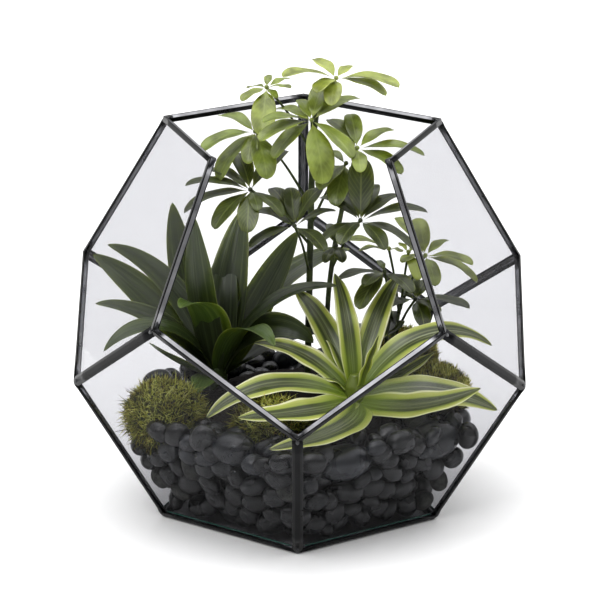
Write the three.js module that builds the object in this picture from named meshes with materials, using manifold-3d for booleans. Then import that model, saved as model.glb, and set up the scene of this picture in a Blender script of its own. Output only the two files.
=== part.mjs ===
// A standing glass plant terrarium: a dodecahedron of flat glass panes held in dark
// soldered came, open at the top and the front, filled with river pebbles, soil, moss
// cushions, a dark strap-leaved dracaena, a yellow-edged dracaena and an umbrella tree.
// Millimetres, +Z up, front towards -Y, origin under the middle of the base.

import * as THREE from 'three';
import { mergeVertices } from 'three/addons/utils/BufferGeometryUtils.js';
import Module from 'manifold-3d';

const wasm = await Module();
wasm.setup();

// ---------------------------------------------------------------- driving dimensions

const EDGE = 127; // one edge of the dodecahedron, 5 in
const HEIGHT_STRETCH = 1.03; // the body stands this much taller than a regular one
const GLASS = 2.2; // thickness of a pane
const GAP = 0.3; // clearance between pieces that touch

const CAME_LEAF = 0.8; // thickness of a came's outer leaf
const CAME_INNER_LEAF = 0.9; // thickness of its inner leaf
const CAME_REACH = 4.1; // how far the outer leaf laps a pane, from the corner line
const CAME_INNER_REACH = 3.1; // how far the narrower inner leaf laps it
const CAME_SLOT = 2.25; // where a came's slot ends and its heart begins
const CAME_FLAT = 1.32; // where the flat along the middle of the outer leaf ends
const CHANNEL_BACK = -0.6; // the back of the channel round the mouth
const CHANNEL_REACH = 3.2; // how far both leaves of that channel lap a pane
const MITRE_GAP = 0.15; // what each bar stays back from its mitre
const OUTER_LIFT = GAP + CAME_LEAF; // the outer leaf's face above the glass

const BED_TOP = 68; // top of the pebbles' solid middle
const BED_INSET = 13; // that middle's distance from the glass
const PEBBLE_INSET = 4.4; // the pebbles' distance from the outside of the glass
const PEBBLE = [21, 14, 12]; // half-lengths of a bed pebble
const PEBBLE_RINGS = [18, 42, 65]; // heights of the rings of pebbles at the glass
const PEBBLE_PITCH = 51.5; // distance between neighbours in a ring
const PEBBLE_SIZES = [0.88, 1.06]; // smallest and largest, of the half-lengths
const PEBBLE_LEAN = 29; // most that one leans along its ring, degrees
const PEBBLE_ROCK = { wall: 17, loose: 11 }; // most that it rocks towards the glass
const PEBBLE_STRAY = { along: 0.12, up: 2 }; // strays this much: of a pitch, and in mm
const WALL_LEAN = -63; // turns a pebble's flat side to the leaning glass, degrees
const TOP_RINGS = [[98, 76]]; // rings on top of the bed: radius, height
const FLOOR_RINGS = [[40, 20]]; // rings on the bottom pane: radius, height

const SOIL = [[0, 20], [56, 20], [80, 44], [84, 74], [66, 86], [36, 90], [0, 91]];

// Stones that lie on the bed: centre, half-lengths, turn about Z in degrees
const STONES = {
  stone_front: [[32, -93, 66], [25, 16, 14], 25],
  stone_front_left: [[-47, -94, 76], [19, 14, 13], -25],
  stone_right: [[100, -47, 68], [22, 15, 14], 40],
  stone_back_left: [[-108, 20, 88], [15, 12, 10], 70],
  stone_back_right: [[108, 36, 88], [13, 11, 11], -40],
};

// Cushions of moss: centre, half-lengths
const MOSS = {
  moss_left: [[-100, -36, 80], [30, 28, 28]],
  moss_right: [[101, -6, 91], [28, 26, 22]],
  moss_front: [[-20, -62, 85], [28, 22, 19]],
  moss_back_right: [[82, 74, 94], [24, 20, 22]],
};
const MOSS_BUMP = 0.035; // height of a cushion's tufts, of its radius
const MOSS_WAVES = [[9, 0, 4], [-5, 8, 0], [0, 7, 11]]; // waves that make the tufts
const MOSS_FADE = [-0.1, 0.3]; // heights that the tufts fade in between, of its own
const SOCKET = 1.16; // size of the hollow that a stone or cushion lies in, of its own

// Strap leaves: azimuth from the front towards +X, lift at the root and at the tip,
// length, width, roll about the leaf's own line, sweep of the azimuth along it
const GREEN_CROWN = [-63, 30, 90];
const GREEN_LEAVES = [
  [-127, 64, 84, 134, 28, -30, 0],
  [-41, 72, 92, 131, 34, 0, 0],
  [161, 76, 53, 126, 34, 0, 0],
  [113, 62, 57, 122, 28, 50, 0],
  [-103, 52, 30, 130, 29, -45, 0],
  [-106, 76, 8, 134, 20, -75, 0],
  [-79, 56, 3, 112, 22, -30, 0],
  [-62, 66, -50, 116, 20, -20, 0],
  [-22, 86, -8, 108, 34, 0, 0],
  [30, 68, -28, 110, 26, 0, 0],
  [-46, 27, 42, 78, 26, 0, 0],
  [118, 66, -4, 148, 26, 20, 0],
  [80, 70, -2, 124, 24, 15, 0],
  [78, 70, -46, 92, 34, 25, 0],
  [173, 88, 24, 104, 28, 0, 0],
  [-12, 24, -14, 64, 24, 0, 0],
  [-145, 52, 0, 88, 26, 0, 0],
  [92, 42, 0, 84, 30, 10, 0],
];
const STRIPED_CROWN = [41, -24, 94];
const STRIPED_LEAVES = [
  [-150, 50, 8, 108, 21, -20, 0],
  [-164, 78, 22, 96, 18, 0, 0],
  [155, 62, 17, 105, 20, 20, 0],
  [103, 58, -43, 122, 20, 35, 0],
  [77, 18, -26, 107, 25, 42, 0],
  [38, 5, 28, 108, 27, 32, 50],
  [106, 24, 32, 65, 12, 30, 0],
  [12, 4, -6, 136, 25, -22, -85],
  [-18, 10, 4, 128, 28, -20, -50],
  [-64, 28, -40, 125, 22, -28, 0],
  [-108, 45, -10, 86, 20, -25, 0],
  [-152, 52, 3, 81, 12, 0, 0],
  [46, 70, 66, 53, 11, 0, 0],
  [124, 52, -27, 78, 11, 20, 0],
  [-96, 50, -55, 41, 11, 0, 0],
  [176, 46, -20, 92, 18, 0, 0],
];
const STRAP_ROOT = 4; // distance of a strap leaf's root from the crown's axis
const STRAP_RISE = 8; // an upright leaf springs this much higher than a level one
const STRAP_DROP = 4; // how far below the crown's mark a level leaf springs
const STRAP_STATIONS = [0, 0.15, 0.35, 0.575, 0.8, 1];
const STRAP_FOLD = 12; // how far each half of a strap leaf is folded up, degrees
const STRAP_THICK = 1.4;
const STRAP_TAPER = [0.5, 0.7]; // how it narrows to its root and to its tip
const STRAP_BUTT = 0.015; // keeps its root from ending in a point
const CROWN_RADIUS = 7.5; // the stump that a dracaena's leaves clasp
const CROWN = [[0, -24], [5, -24], [CROWN_RADIUS, -4], [CROWN_RADIUS, 8], [3.5, 17], [0, 19]];

// Umbrella leaves: where the leaflets spring from the leaf stalk, the leaflets' droop,
// and each leaflet's azimuth, mean lift and length
const UMBRELLA = {
  umbrella_main_stem: {
    stem: [[5, 48, 66], [6, 50, 150], [7, 48, 225], [8, 43, 268], [11, 42, 300]],
    girth: 2.4,
    leaves: [
      { hub: [25, 44, 321], from: [11, 42, 299], droop: 40,
        leaflets: [[-145, 13, 30], [-59, 4, 46], [147, 9, 22], [67, -6, 50],
          [62, -15, 42], [-27, -11, 32], [-7, -29, 32]] },
      { hub: [7, 22, 294], from: [7, 45, 262], droop: 36,
        leaflets: [[163, 29, 36], [-154, 22, 24], [-132, -1, 38], [-57, 2, 42],
          [-52, -14, 48], [-52, -38, 42], [18, -60, 50], [54, -35, 44], [126, 11, 44]] },
      { hub: [-35, 30, 283], from: [6, 48, 222], droop: 44,
        leaflets: [[-134, 4, 38], [-59, -16, 46], [-56, -50, 46], [-12, -42, 30],
          [16, -43, 44]] },
      { hub: [-27, 46, 313], from: [8, 44, 262], droop: 34,
        leaflets: [[-136, -15, 20], [-43, -16, 26], [125, 8, 20], [52, 4, 22],
          [-4, -44, 44], [174, 21, 14], [28, -20, 16]] },
      { hub: [-38, 8, 244], from: [6, 50, 190], droop: 40,
        leaflets: [[-159, 30, 36], [-88, 0, 48], [-82, -22, 52], [-47, -38, 42],
          [-3, -44, 38], [16, -28, 24], [130, 31, 42]] },
      { hub: [-5, 2, 218], from: [6, 50, 168], droop: 40,
        leaflets: [[-117, 6, 38], [-146, 31, 38], [-171, 42, 32], [133, 38, 36],
          [100, 15, 32], [40, -22, 36], [-63, -22, 38]] },
      { hub: [33, 34, 258], from: [7, 49, 206], droop: 40,
        leaflets: [[-138, 5, 26], [-32, -22, 38], [-14, -41, 40]] },
    ],
  },
  umbrella_second_stem: {
    stem: [[20, 34, 66], [20, 36, 140], [24, 34, 186], [31, 27, 228], [37, 21, 258]],
    girth: 1.9,
    leaves: [
      { hub: [41, 18, 274], from: [37, 21, 257], droop: 40,
        leaflets: [[-140, 21, 36], [-168, 33, 32], [127, 12, 34], [87, -9, 50],
          [54, -22, 42], [5, -28, 28]] },
      { hub: [44, 8, 221], from: [23, 34, 176], droop: 42,
        leaflets: [[178, 72, 46], [159, 30, 36], [-147, 29, 36], [-125, 14, 38],
          [-27, -21, 34], [35, -30, 34], [80, -31, 46], [90, 4, 50]] },
      { hub: [26, 30, 195], from: [21, 35, 154], droop: 36,
        leaflets: [[-160, 33, 20], [13, -21, 22], [-25, -27, 20], [146, 7, 20]] },
    ],
  },
  umbrella_seedling: {
    stem: [[61, 46, 66], [62, 47, 90], [70, 53, 115], [76, 54, 142]],
    girth: 1.7,
    leaves: [
      { hub: [94, 50, 182], from: [76, 54, 140], droop: 44,
        leaflets: [[-132, 35, 38], [-164, 41, 32], [133, 14, 24], [67, -8, 38],
          [79, -29, 44], [16, -37, 30], [-43, -4, 26]] },
      { hub: [87, 44, 149], from: [73, 55, 118], droop: 36,
        leaflets: [[-136, -1, 28], [-44, -4, 32], [12, -27, 32], [159, 13, 26],
          [72, -7, 42], [37, -11, 28], [-174, 29, 24]] },
      { hub: [66, 40, 190], from: [75, 54, 134], droop: 40,
        leaflets: [[-89, -8, 22], [41, 0, 14], [-153, 1, 12], [-77, 10, 34]] },
      { hub: [81, 42, 187], from: [76, 54, 138], droop: 34,
        leaflets: [[19, -39, 26], [-147, 15, 12], [151, 6, 12]] },
      { hub: [63, 36, 173], from: [71, 53, 117], droop: 36,
        leaflets: [[-30, -10, 30], [-74, -9, 36], [-33, -34, 40], [34, -15, 36],
          [-163, 15, 14]] },
      { hub: [65, 30, 122], from: [62, 47, 90], droop: 20,
        leaflets: [[168, 23, 30], [-168, 25, 32], [144, 20, 22]] },
    ],
  },
};
const LEAFLET_STATIONS = [0, 0.16, 0.45, 0.76, 1];
const LEAFLET_WIDTH = 0.44; // of its length
const LEAFLET_STALK = 0.16; // bare part of a leaflet, of its length
const LEAFLET_FOLD = 14;
const LEAFLET_TAPER = [0.9, 0.45]; // how it narrows to its root and to its tip
const LEAFLET_THIN = 0.06; // half-width of its bare part, of the blade's
const LEAFLET_THICK = 1;
const LEAFLET_ROOT = 1.6; // distance of a leaflet's root from the hub's middle
const HUB = 2.3; // radius of the knuckle that the leaflets spring from
const STALK = 1.2; // radius of a leaf stalk
const STALK_BOW = 0.58; // height of its middle, of the way up

const STEM_HOLE = 1.2; // clearance round what is planted in the soil
const HOLE_FLOOR = 65; // height of those holes' floors
const HOLE_DEPTH = 60; // their depth, well past the top of the soil

const BEND = 1.4; // a blade bends as this power of the way along it
const ARC_STEPS = 40; // steps that a blade's line is summed over
const WIDEST = 0.47; // brings a blade's widest half-width to about one

const SIDES = { soil: 20, hole: 10, crown: 8, stem: 6, stalk: 4 }; // of the round pieces
const STALK_STEPS = 4;
const STEM_STEPS = 2; // for each point of a stem
const STONE_DETAIL = 1; // how often a ball's faces are split
const MOSS_DETAIL = 3;
const WELD = 1e-4; // vertices nearer than this are one

// ---------------------------------------------------------------- shared helpers

const rad = THREE.MathUtils.degToRad;
const vec = (a) => new THREE.Vector3(...a);

function material(name, color, roughness, metalness = 0, opacity = 1) {
  const transparent = opacity < 1;
  return new THREE.MeshStandardMaterial({
    name, color, roughness, metalness, opacity, transparent, flatShading: true,
  });
}

const finish = {
  came: material('blackened came', 0x26272a, 0.42, 0.8),
  glass: material('clear glass', 0xe6e8ee, 0.03, 0, 0.18),
  stone: material('river pebble', 0x33353a, 0.38),
  soil: material('potting soil', 0x1e1712, 0.95),
  moss: material('sheet moss', 0x6a7430, 0.95),
  green: material('dark dracaena leaf', 0x25401a, 0.42),
  striped: material('yellow-edged leaf', 0x8f9c42, 0.45),
  umbrella: material('umbrella tree leaf', 0x4d6a34, 0.4),
};

// A seeded draw between two limits, the same on every run: a linear congruence
let seed = 20260;
function draw(low, high) {
  seed = (seed * 1103515245 + 12345) % 2147483648;
  return low + ((high - low) * seed) / 2147483648;
}

// A closed geometry as a solid that can be joined and cut
function solid(geometry) {
  const bare = geometry.clone();
  bare.deleteAttribute('normal');
  bare.deleteAttribute('uv');
  const merged = mergeVertices(bare, WELD);
  return new wasm.Manifold(new wasm.Mesh({
    numProp: 3,
    vertProperties: new Float32Array(merged.attributes.position.array),
    triVerts: new Uint32Array(merged.index.array),
  }));
}

const join = (solids) => solids.reduce((whole, next) => whole.add(next));
const cut = (body, tools) => tools.reduce((whole, next) => whole.subtract(next), body);

// The largest closed shell of a solid: sealed hollows are filled, loose scraps dropped
function largestShell(triangles, position) {
  const parent = Array.from({ length: position.length / 3 }, (_, i) => i);
  const root = (i) => {
    let top = i;
    while (parent[top] !== top) top = parent[top];
    parent[i] = top;
    return top;
  };
  for (let i = 0; i < triangles.length; i += 3) {
    parent[root(triangles[i])] = root(triangles[i + 1]);
    parent[root(triangles[i + 1])] = root(triangles[i + 2]);
  }
  const shells = new Map();
  for (let i = 0; i < triangles.length; i += 3) {
    const [a, b, c] = [0, 1, 2].map((k) =>
      new THREE.Vector3().fromArray(position, 3 * triangles[i + k]));
    const shell = shells.get(root(triangles[i])) ?? { volume: 0, index: [] };
    shell.volume += a.dot(b.cross(c)) / 6;
    shell.index.push(...triangles.slice(i, i + 3));
    shells.set(root(triangles[i]), shell);
  }
  return [...shells.values()].sort((p, q) => q.volume - p.volume)[0].index;
}

function geometryOf(body) {
  const mesh = body.getMesh();
  const geometry = new THREE.BufferGeometry();
  const position = Float32Array.from(mesh.vertProperties);
  const index = largestShell(Array.from(mesh.triVerts), position);
  geometry.setAttribute('position', new THREE.BufferAttribute(position, 3));
  geometry.setIndex(index);
  const shell = geometry.toNonIndexed();
  shell.computeVertexNormals();
  return shell;
}

function indexed(points, triangles) {
  const geometry = new THREE.BufferGeometry();
  geometry.setAttribute('position', new THREE.Float32BufferAttribute(points.flat(), 3));
  geometry.setIndex(triangles.flat());
  return geometry;
}

function named(name, geometry, look) {
  const mesh = new THREE.Mesh(geometry, look);
  mesh.name = name;
  return mesh;
}

// ---------------------------------------------------------------- the dodecahedron

const GOLDEN = (1 + Math.sqrt(5)) / 2;
const BASE_RADIUS = EDGE / (2 * Math.sin(rad(36)));
const GIRDLE_RADIUS = GOLDEN * BASE_RADIUS;
const OUTER_STOREY = HEIGHT_STRETCH * Math.sqrt(EDGE ** 2 - (GIRDLE_RADIUS - BASE_RADIUS) ** 2);
const MIDDLE_STOREY = HEIGHT_STRETCH
  * Math.sqrt(EDGE ** 2 - (2 * GIRDLE_RADIUS * Math.sin(rad(18))) ** 2);
const LEVELS = {
  base: [BASE_RADIUS, OUTER_LIFT],
  lower: [GIRDLE_RADIUS, OUTER_LIFT + OUTER_STOREY],
  upper: [GIRDLE_RADIUS, OUTER_LIFT + OUTER_STOREY + MIDDLE_STOREY],
  top: [BASE_RADIUS, OUTER_LIFT + 2 * OUTER_STOREY + MIDDLE_STOREY],
};
const CENTRE = new THREE.Vector3(0, 0, (LEVELS.base[1] + LEVELS.top[1]) / 2);
const STEP = 72; // the turn between neighbouring corners of a ring
const BEYOND = 1.3; // a bar's space reaches this many times as far as the corners

// A corner of the outer glass: a point of the named ring, at an azimuth in degrees
function corner(level, azimuth) {
  const [radius, height] = LEVELS[level];
  const turn = rad(azimuth);
  return new THREE.Vector3(radius * Math.sin(turn), -radius * Math.cos(turn), height);
}

const turns = [0, 1, 2, 3, 4].map((k) => k * STEP);
const FACES = [
  { name: 'bottom', corners: turns.map((a) => corner('base', -a)) },
  ...turns.map((a, k) => ({
    name: `lower_${k + 1}`,
    corners: [corner('base', a), corner('base', a + STEP), corner('lower', a + STEP),
      corner('upper', a + STEP / 2), corner('lower', a)],
  })),
  ...turns.map((a, k) => ({
    name: k === 4 ? 'front' : `upper_${k + 1}`,
    corners: [corner('lower', a + STEP), corner('upper', a + 1.5 * STEP),
      corner('top', a + 1.5 * STEP), corner('top', a + STEP / 2),
      corner('upper', a + STEP / 2)],
  })),
  { name: 'mouth', corners: turns.map((a) => corner('top', a + STEP / 2)) },
].map((face) => {
  const centre = face.corners.reduce((s, c) => s.add(c), new THREE.Vector3());
  centre.multiplyScalar(1 / face.corners.length);
  const normal = new THREE.Vector3().crossVectors(
    face.corners[1].clone().sub(face.corners[0]),
    face.corners[2].clone().sub(face.corners[0]),
  ).normalize();
  return { ...face, centre, normal, open: face.name === 'front' || face.name === 'mouth' };
});

// ---------------------------------------------------------------- panes

// A pentagon of glass, a little smaller than its face, from the outer face inwards
function pane(face) {
  const across = face.corners[1].clone().sub(face.corners[0]).normalize();
  const up = new THREE.Vector3().crossVectors(face.normal, across);
  const middle = face.corners[0].clone().lerp(face.corners[1], 0.5);
  const scale = 1 - (CAME_SLOT + GAP) / middle.distanceTo(face.centre);
  const outline = new THREE.Shape(face.corners.map((c) => {
    const arm = c.clone().sub(face.centre).multiplyScalar(scale);
    return new THREE.Vector2(arm.dot(across), arm.dot(up));
  }));
  const geometry = new THREE.ExtrudeGeometry(outline, { depth: GLASS, bevelEnabled: false });
  const mesh = named(`pane_${face.name}`, geometry, finish.glass);
  mesh.quaternion.setFromRotationMatrix(
    new THREE.Matrix4().makeBasis(across, up, face.normal));
  mesh.position.copy(face.centre).addScaledVector(face.normal, -GLASS);
  return mesh;
}

// ---------------------------------------------------------------- came bars

const same = (p, q) => p.distanceTo(q) < 0.01;

// A bar's cross-section: u runs across it and v outwards. A point t along a pane from
// the corner line and h above the outer glass lies at (t cos + h sin, h cos - t sin) of
// half the bend. Two panes give an H with bent leaves, one pane gives a channel.
function cameSection(halfBend, paneSides) {
  const at = (side) => (t, h) => [
    side * (t * Math.cos(halfBend) + h * Math.sin(halfBend)),
    h * Math.cos(halfBend) - t * Math.sin(halfBend),
  ];
  const inside = -(GLASS + GAP);
  const under = inside - CAME_INNER_LEAF;
  const channel = paneSides.length === 1;
  const reach = channel ? CHANNEL_REACH : CAME_REACH;
  const innerReach = channel ? CHANNEL_REACH : CAME_INNER_REACH;
  const slotSide = (p) => [
    p(reach, OUTER_LIFT), p(reach, GAP), p(CAME_SLOT, GAP),
    p(CAME_SLOT, inside), p(innerReach, inside), p(innerReach, under),
  ];
  if (channel) {
    const p = at(paneSides[0]);
    return [p(CHANNEL_BACK, OUTER_LIFT), ...slotSide(p), p(CHANNEL_BACK, under)];
  }
  const innerCorner = [0, under / Math.cos(halfBend)];
  const right = at(1);
  const left = at(-1);
  return [
    right(CAME_FLAT, OUTER_LIFT), ...slotSide(right), innerCorner,
    ...slotSide(left).reverse(), left(CAME_FLAT, OUTER_LIFT),
  ];
}

// The space that belongs to one edge: a pyramid from the body's centre through the
// edge's two ends and its two faces' centres. Where the next edge is missing, at the
// mouth, the mitre between the two bars that are left runs on to the open side.
function territory(a, b, shared, other, freeEnd) {
  const from = (p) => p.clone().sub(CENTRE);
  const rays = [from(a), from(shared.centre), from(b), from(other.centre)];
  if (freeEnd) {
    const near = freeEnd === a ? a : b;
    const far = freeEnd === a ? b : a;
    const mitre = from(near).cross(from(shared.centre));
    const wall = from(far).cross(from(other.centre));
    const ray = mitre.cross(wall);
    rays[3] = ray.dot(from(other.centre)) < 0 ? ray.negate() : ray;
  }
  const reach = CENTRE.distanceTo(a) * BEYOND;
  const axis = from(a).add(from(b)).normalize();
  const side = rays[0].clone().cross(rays[1]).normalize();
  const apex = CENTRE.clone().addScaledVector(axis, MITRE_GAP / Math.abs(side.dot(axis)));
  const tips = rays.map((ray) => apex.clone().addScaledVector(ray.normalize(), reach));
  const points = [apex, ...tips].map((p) => p.toArray());
  const outward = tips[0].clone().sub(apex).cross(tips[1].clone().sub(apex))
    .dot(tips[2].clone().sub(apex)) > 0;
  const triangles = [[0, 1, 2], [0, 2, 3], [0, 3, 4], [0, 4, 1], [1, 3, 2], [1, 4, 3]];
  return indexed(points, outward ? triangles.map((t) => t.reverse()) : triangles);
}

function cameBar(name, a, b, missing) {
  const [first, second] = FACES.filter((face) =>
    face.corners.some((c) => same(c, a)) && face.corners.some((c) => same(c, b)));
  if (first.open && second.open) return null;
  const shared = first.open ? second : first;
  const other = first.open ? first : second;
  const along = b.clone().sub(a).normalize();
  const out = shared.normal.clone().add(other.normal).normalize();
  const across = new THREE.Vector3().crossVectors(out, along);
  const halfBend = shared.normal.angleTo(other.normal) / 2;
  const sharedSide = Math.sign(shared.centre.clone().sub(a).dot(across));
  const section = cameSection(halfBend, other.open ? [sharedSide] : [1, -1]);
  const outline = new THREE.Shape(section.map(([u, v]) => new THREE.Vector2(u, v)));
  const length = a.distanceTo(b);
  const spare = EDGE / 8;
  const stock = new THREE.ExtrudeGeometry(outline, {
    depth: length + 2 * spare, bevelEnabled: false,
  }).translate(0, 0, -spare);
  const place = new THREE.Matrix4().makeBasis(across, out, along).setPosition(a);
  const freeEnd = [a, b].find((end) => missing.some((m) => same(m, end)));
  const room = territory(a, b, shared, other, other.open ? freeEnd : null)
    .applyMatrix4(place.clone().invert());
  const mesh = named(name, geometryOf(solid(stock).intersect(solid(room))), finish.came);
  mesh.applyMatrix4(place);
  return mesh;
}

function frame() {
  const bars = [];
  const missing = [corner('top', -STEP / 2), corner('top', STEP / 2)];
  const add = (name, a, b) => {
    const bar = cameBar(name, a, b, missing);
    if (bar) bars.push(bar);
  };
  turns.forEach((a, k) => {
    const half = a + STEP / 2;
    add(`base_bar_${k + 1}`, corner('base', a), corner('base', a + STEP));
    add(`lower_bar_${k + 1}`, corner('base', a), corner('lower', a));
    add(`girdle_bar_${2 * k + 1}`, corner('lower', a), corner('upper', half));
    add(`girdle_bar_${2 * k + 2}`, corner('upper', half), corner('lower', a + STEP));
    add(`upper_bar_${k + 1}`, corner('upper', half), corner('top', half));
    add(`rim_bar_${k + 1}`, corner('top', half), corner('top', half + STEP));
  });
  return bars;
}

// ---------------------------------------------------------------- stones and moss

// A ball of few faces stretched to its half-lengths, turned and set in its place
function stone(centre, halves, turn) {
  return new THREE.IcosahedronGeometry(1, STONE_DETAIL)
    .scale(...halves)
    .rotateZ(rad(turn))
    .translate(...centre);
}

// A cushion of moss: a ball whose radius rises and falls in tufts above its middle
function cushion(centre, halves) {
  const ball = mergeVertices(new THREE.IcosahedronGeometry(1, MOSS_DETAIL)
    .deleteAttribute('normal').deleteAttribute('uv'), WELD);
  const spots = ball.attributes.position;
  for (let i = 0; i < spots.count; i += 1) {
    const spot = new THREE.Vector3().fromBufferAttribute(spots, i);
    const [first, second, third] = MOSS_WAVES.map((wave) => Math.sin(vec(wave).dot(spot)));
    const fade = THREE.MathUtils.smoothstep(spot.z, ...MOSS_FADE);
    spot.multiplyScalar(1 + MOSS_BUMP * (first * second + third) * fade);
    spots.setXYZ(i, ...spot);
  }
  return ball.scale(...halves).translate(...centre);
}

function sockets() {
  const wider = (halves) => halves.map((h) => h * SOCKET + GAP);
  return [
    ...Object.values(STONES).map(([centre, halves, turn]) =>
      solid(stone(centre, wider(halves), turn))),
    ...Object.values(MOSS).map(([centre, halves]) =>
      solid(stone(centre, wider(halves), 0))),
  ];
}

// ---------------------------------------------------------------- pebble bed and soil

// What is planted: where each stem goes down into the soil, and its radius there
const PLANTED = [
  ...[GREEN_CROWN, STRIPED_CROWN].map(([x, y]) => [x, y, CROWN_RADIUS]),
  ...Object.values(UMBRELLA).map(({ stem, girth }) => [stem[0][0], stem[0][1], girth]),
];

// Plain round holes that the stems stand in, open at the top
function plantHoles() {
  return PLANTED.map(([x, y, radius]) => solid(
    new THREE.CylinderGeometry(radius + STEM_HOLE, radius + STEM_HOLE, HOLE_DEPTH, SIDES.hole)
      .rotateX(Math.PI / 2).translate(x, y, HOLE_FLOOR + HOLE_DEPTH / 2)));
}

const WALLS = FACES.filter((face) => !face.open);
const FACING = 0.1; // a wall is in the way where its normal leans this much that way

// How far a ball with these half-lengths along these axes reaches in a direction
const support = (axes, halves, way) =>
  Math.hypot(...axes.map((axis, i) => axis.dot(way) * halves[i]));

// How far from the axis a pebble can lie at an azimuth and height and stay clear of the
// glass
function reachAt(azimuth, height, axes, halves) {
  const way = new THREE.Vector3(Math.sin(azimuth), -Math.cos(azimuth), 0);
  const start = new THREE.Vector3(0, 0, height);
  const reaches = WALLS.filter((wall) => wall.normal.dot(way) > FACING).map((wall) => {
    const room = wall.centre.clone().sub(start).dot(wall.normal) - PEBBLE_INSET;
    return (room - support(axes, halves, wall.normal)) / wall.normal.dot(way);
  });
  return Math.min(...reaches);
}

// A pebble of a ring: against the glass, or at the given radius where there is one
function bedPebble(azimuth, height, radius) {
  const halves = PEBBLE.map((h) => h * draw(...PEBBLE_SIZES));
  const lean = draw(-PEBBLE_LEAN, PEBBLE_LEAN);
  const { wall, loose } = PEBBLE_ROCK;
  const tilt = radius ? draw(-loose, loose) : WALL_LEAN + draw(-wall, wall);
  const turn = new THREE.Euler(rad(tilt), rad(lean), azimuth, 'ZYX');
  const matrix = new THREE.Matrix4().makeRotationFromEuler(turn);
  const axes = [0, 1, 2].map((i) => new THREE.Vector3().setFromMatrixColumn(matrix, i));
  const lowest = LEVELS.base[1] + PEBBLE_INSET + support(axes, halves, new THREE.Vector3(0, 0, 1));
  const lie = Math.max(height, lowest);
  const far = reachAt(azimuth, lie, axes, halves);
  const out = radius ? Math.min(radius, far) : far;
  const ball = new THREE.SphereGeometry(1, 5, 4).scale(...halves).applyMatrix4(matrix);
  return ball.translate(out * Math.sin(azimuth), -out * Math.cos(azimuth), lie);
}

function ring(height, radius) {
  const reach = radius || reachAt(rad(STEP / 2), height, [], []);
  const count = Math.round((2 * Math.PI * reach) / PEBBLE_PITCH);
  const start = draw(0, 1);
  return Array.from({ length: count }, (_, i) => {
    const { along, up } = PEBBLE_STRAY;
    const azimuth = ((i + start + draw(-along, along)) * 2 * Math.PI) / count;
    return solid(bedPebble(azimuth, height + draw(-up, up), radius));
  });
}

// The dodecahedron drawn in by a distance from the glass, up to a height
function bedCore() {
  const scale = 1 - BED_INSET / CENTRE.distanceTo(FACES[0].centre);
  const points = [];
  const triangles = [];
  FACES.forEach((face) => {
    const first = points.length;
    face.corners.forEach((c) => {
      points.push(c.clone().sub(CENTRE).multiplyScalar(scale).add(CENTRE).toArray());
    });
    triangles.push([first, first + 1, first + 2], [first, first + 2, first + 3],
      [first, first + 3, first + 4]);
  });
  const wide = 4 * GIRDLE_RADIUS;
  const below = new THREE.BoxGeometry(wide, wide, wide).translate(0, 0, BED_TOP - wide / 2);
  return solid(indexed(points, triangles)).intersect(solid(below));
}

// The mound of soil, its sides and its floor grown outwards by a clearance
function soilBody(grow) {
  const floor = SOIL[0][1];
  const profile = SOIL.map(([r, z]) =>
    new THREE.Vector2(r && r + grow, z === floor ? z - grow : z));
  return new THREE.LatheGeometry(profile, SIDES.soil).rotateX(Math.PI / 2);
}

// ---------------------------------------------------------------- leaves

// The direction with this azimuth from the front towards +X and this lift
function heading(azimuth, lift) {
  return new THREE.Vector3(
    Math.cos(lift) * Math.sin(azimuth),
    -Math.cos(lift) * Math.cos(azimuth),
    Math.sin(lift),
  );
}

// A blade's own directions at s of its length: it starts at its root lift and bends to
// its tip lift as a power of s, and its azimuth may sweep round
function bladeFrame([azimuth, rootLift, tipLift, , , roll, sweep], s) {
  const turn = rad(azimuth + sweep * s);
  const lift = rad(rootLift + (tipLift - rootLift) * s ** BEND);
  const along = heading(turn, lift);
  const level = new THREE.Vector3(Math.cos(turn), Math.sin(turn), 0);
  const face = new THREE.Vector3().crossVectors(along, level);
  const side = level.multiplyScalar(Math.cos(rad(roll)))
    .addScaledVector(face, Math.sin(rad(roll)));
  return { along, side, face: new THREE.Vector3().crossVectors(along, side) };
}

// The points along a blade's middle, as a function of s
function bladeLine(leaf, root) {
  const points = [root.clone()];
  for (let i = 0; i < ARC_STEPS; i += 1) {
    const { along } = bladeFrame(leaf, (i + 0.5) / ARC_STEPS);
    points.push(points[i].clone().addScaledVector(along, leaf[3] / ARC_STEPS));
  }
  return (s) => points[Math.round(s * ARC_STEPS)];
}

// A blade: left edge, ridge, right edge and underside at each station, folded up along
// the middle, closed at the root and drawn to a point at the tip. Its two faces are split
// alike, each diagonal running from an edge to the next station's ridge or underside.
function blade(leaf, root, { stations, outline, fold, thick }) {
  const line = bladeLine(leaf, root);
  const points = [];
  const triangles = [];
  stations.forEach((s, i) => {
    const { side, face } = bladeFrame(leaf, s);
    const half = (leaf[4] / 2) * outline(s);
    const middle = line(s);
    if (s === 1) {
      points.push(middle.toArray());
      return;
    }
    const rise = half * Math.tan(rad(fold));
    const edge = (sign) => middle.clone().addScaledVector(side, sign * half)
      .addScaledVector(face, rise).toArray();
    const deep = (sign) => middle.clone().addScaledVector(face, (sign * thick) / 2).toArray();
    points.push(edge(-1), deep(1), edge(1), deep(-1));
    if (i === 0) triangles.push([0, 1, 2], [0, 2, 3]);
  });
  const last = stations.length - 1;
  for (let i = 0; i < last; i += 1) {
    for (let k = 0; k < 4; k += 1) {
      const [p, q] = [4 * i + k, 4 * i + ((k + 1) % 4)];
      if (i === last - 1) {
        triangles.push([p, 4 * last, q]);
      } else {
        const [r, t] = [p + 4, q + 4];
        triangles.push(...(k % 2 ? [[p, r, q], [r, t, q]] : [[p, t, q], [p, r, t]]));
      }
    }
  }
  return solid(indexed(points, triangles));
}

// Half-width of a blade: powers of the distances from its root and from its tip
const lens = (fromRoot, fromTip, [rootPower, tipPower]) =>
  (fromRoot ** rootPower * fromTip ** tipPower) / WIDEST;

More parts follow.
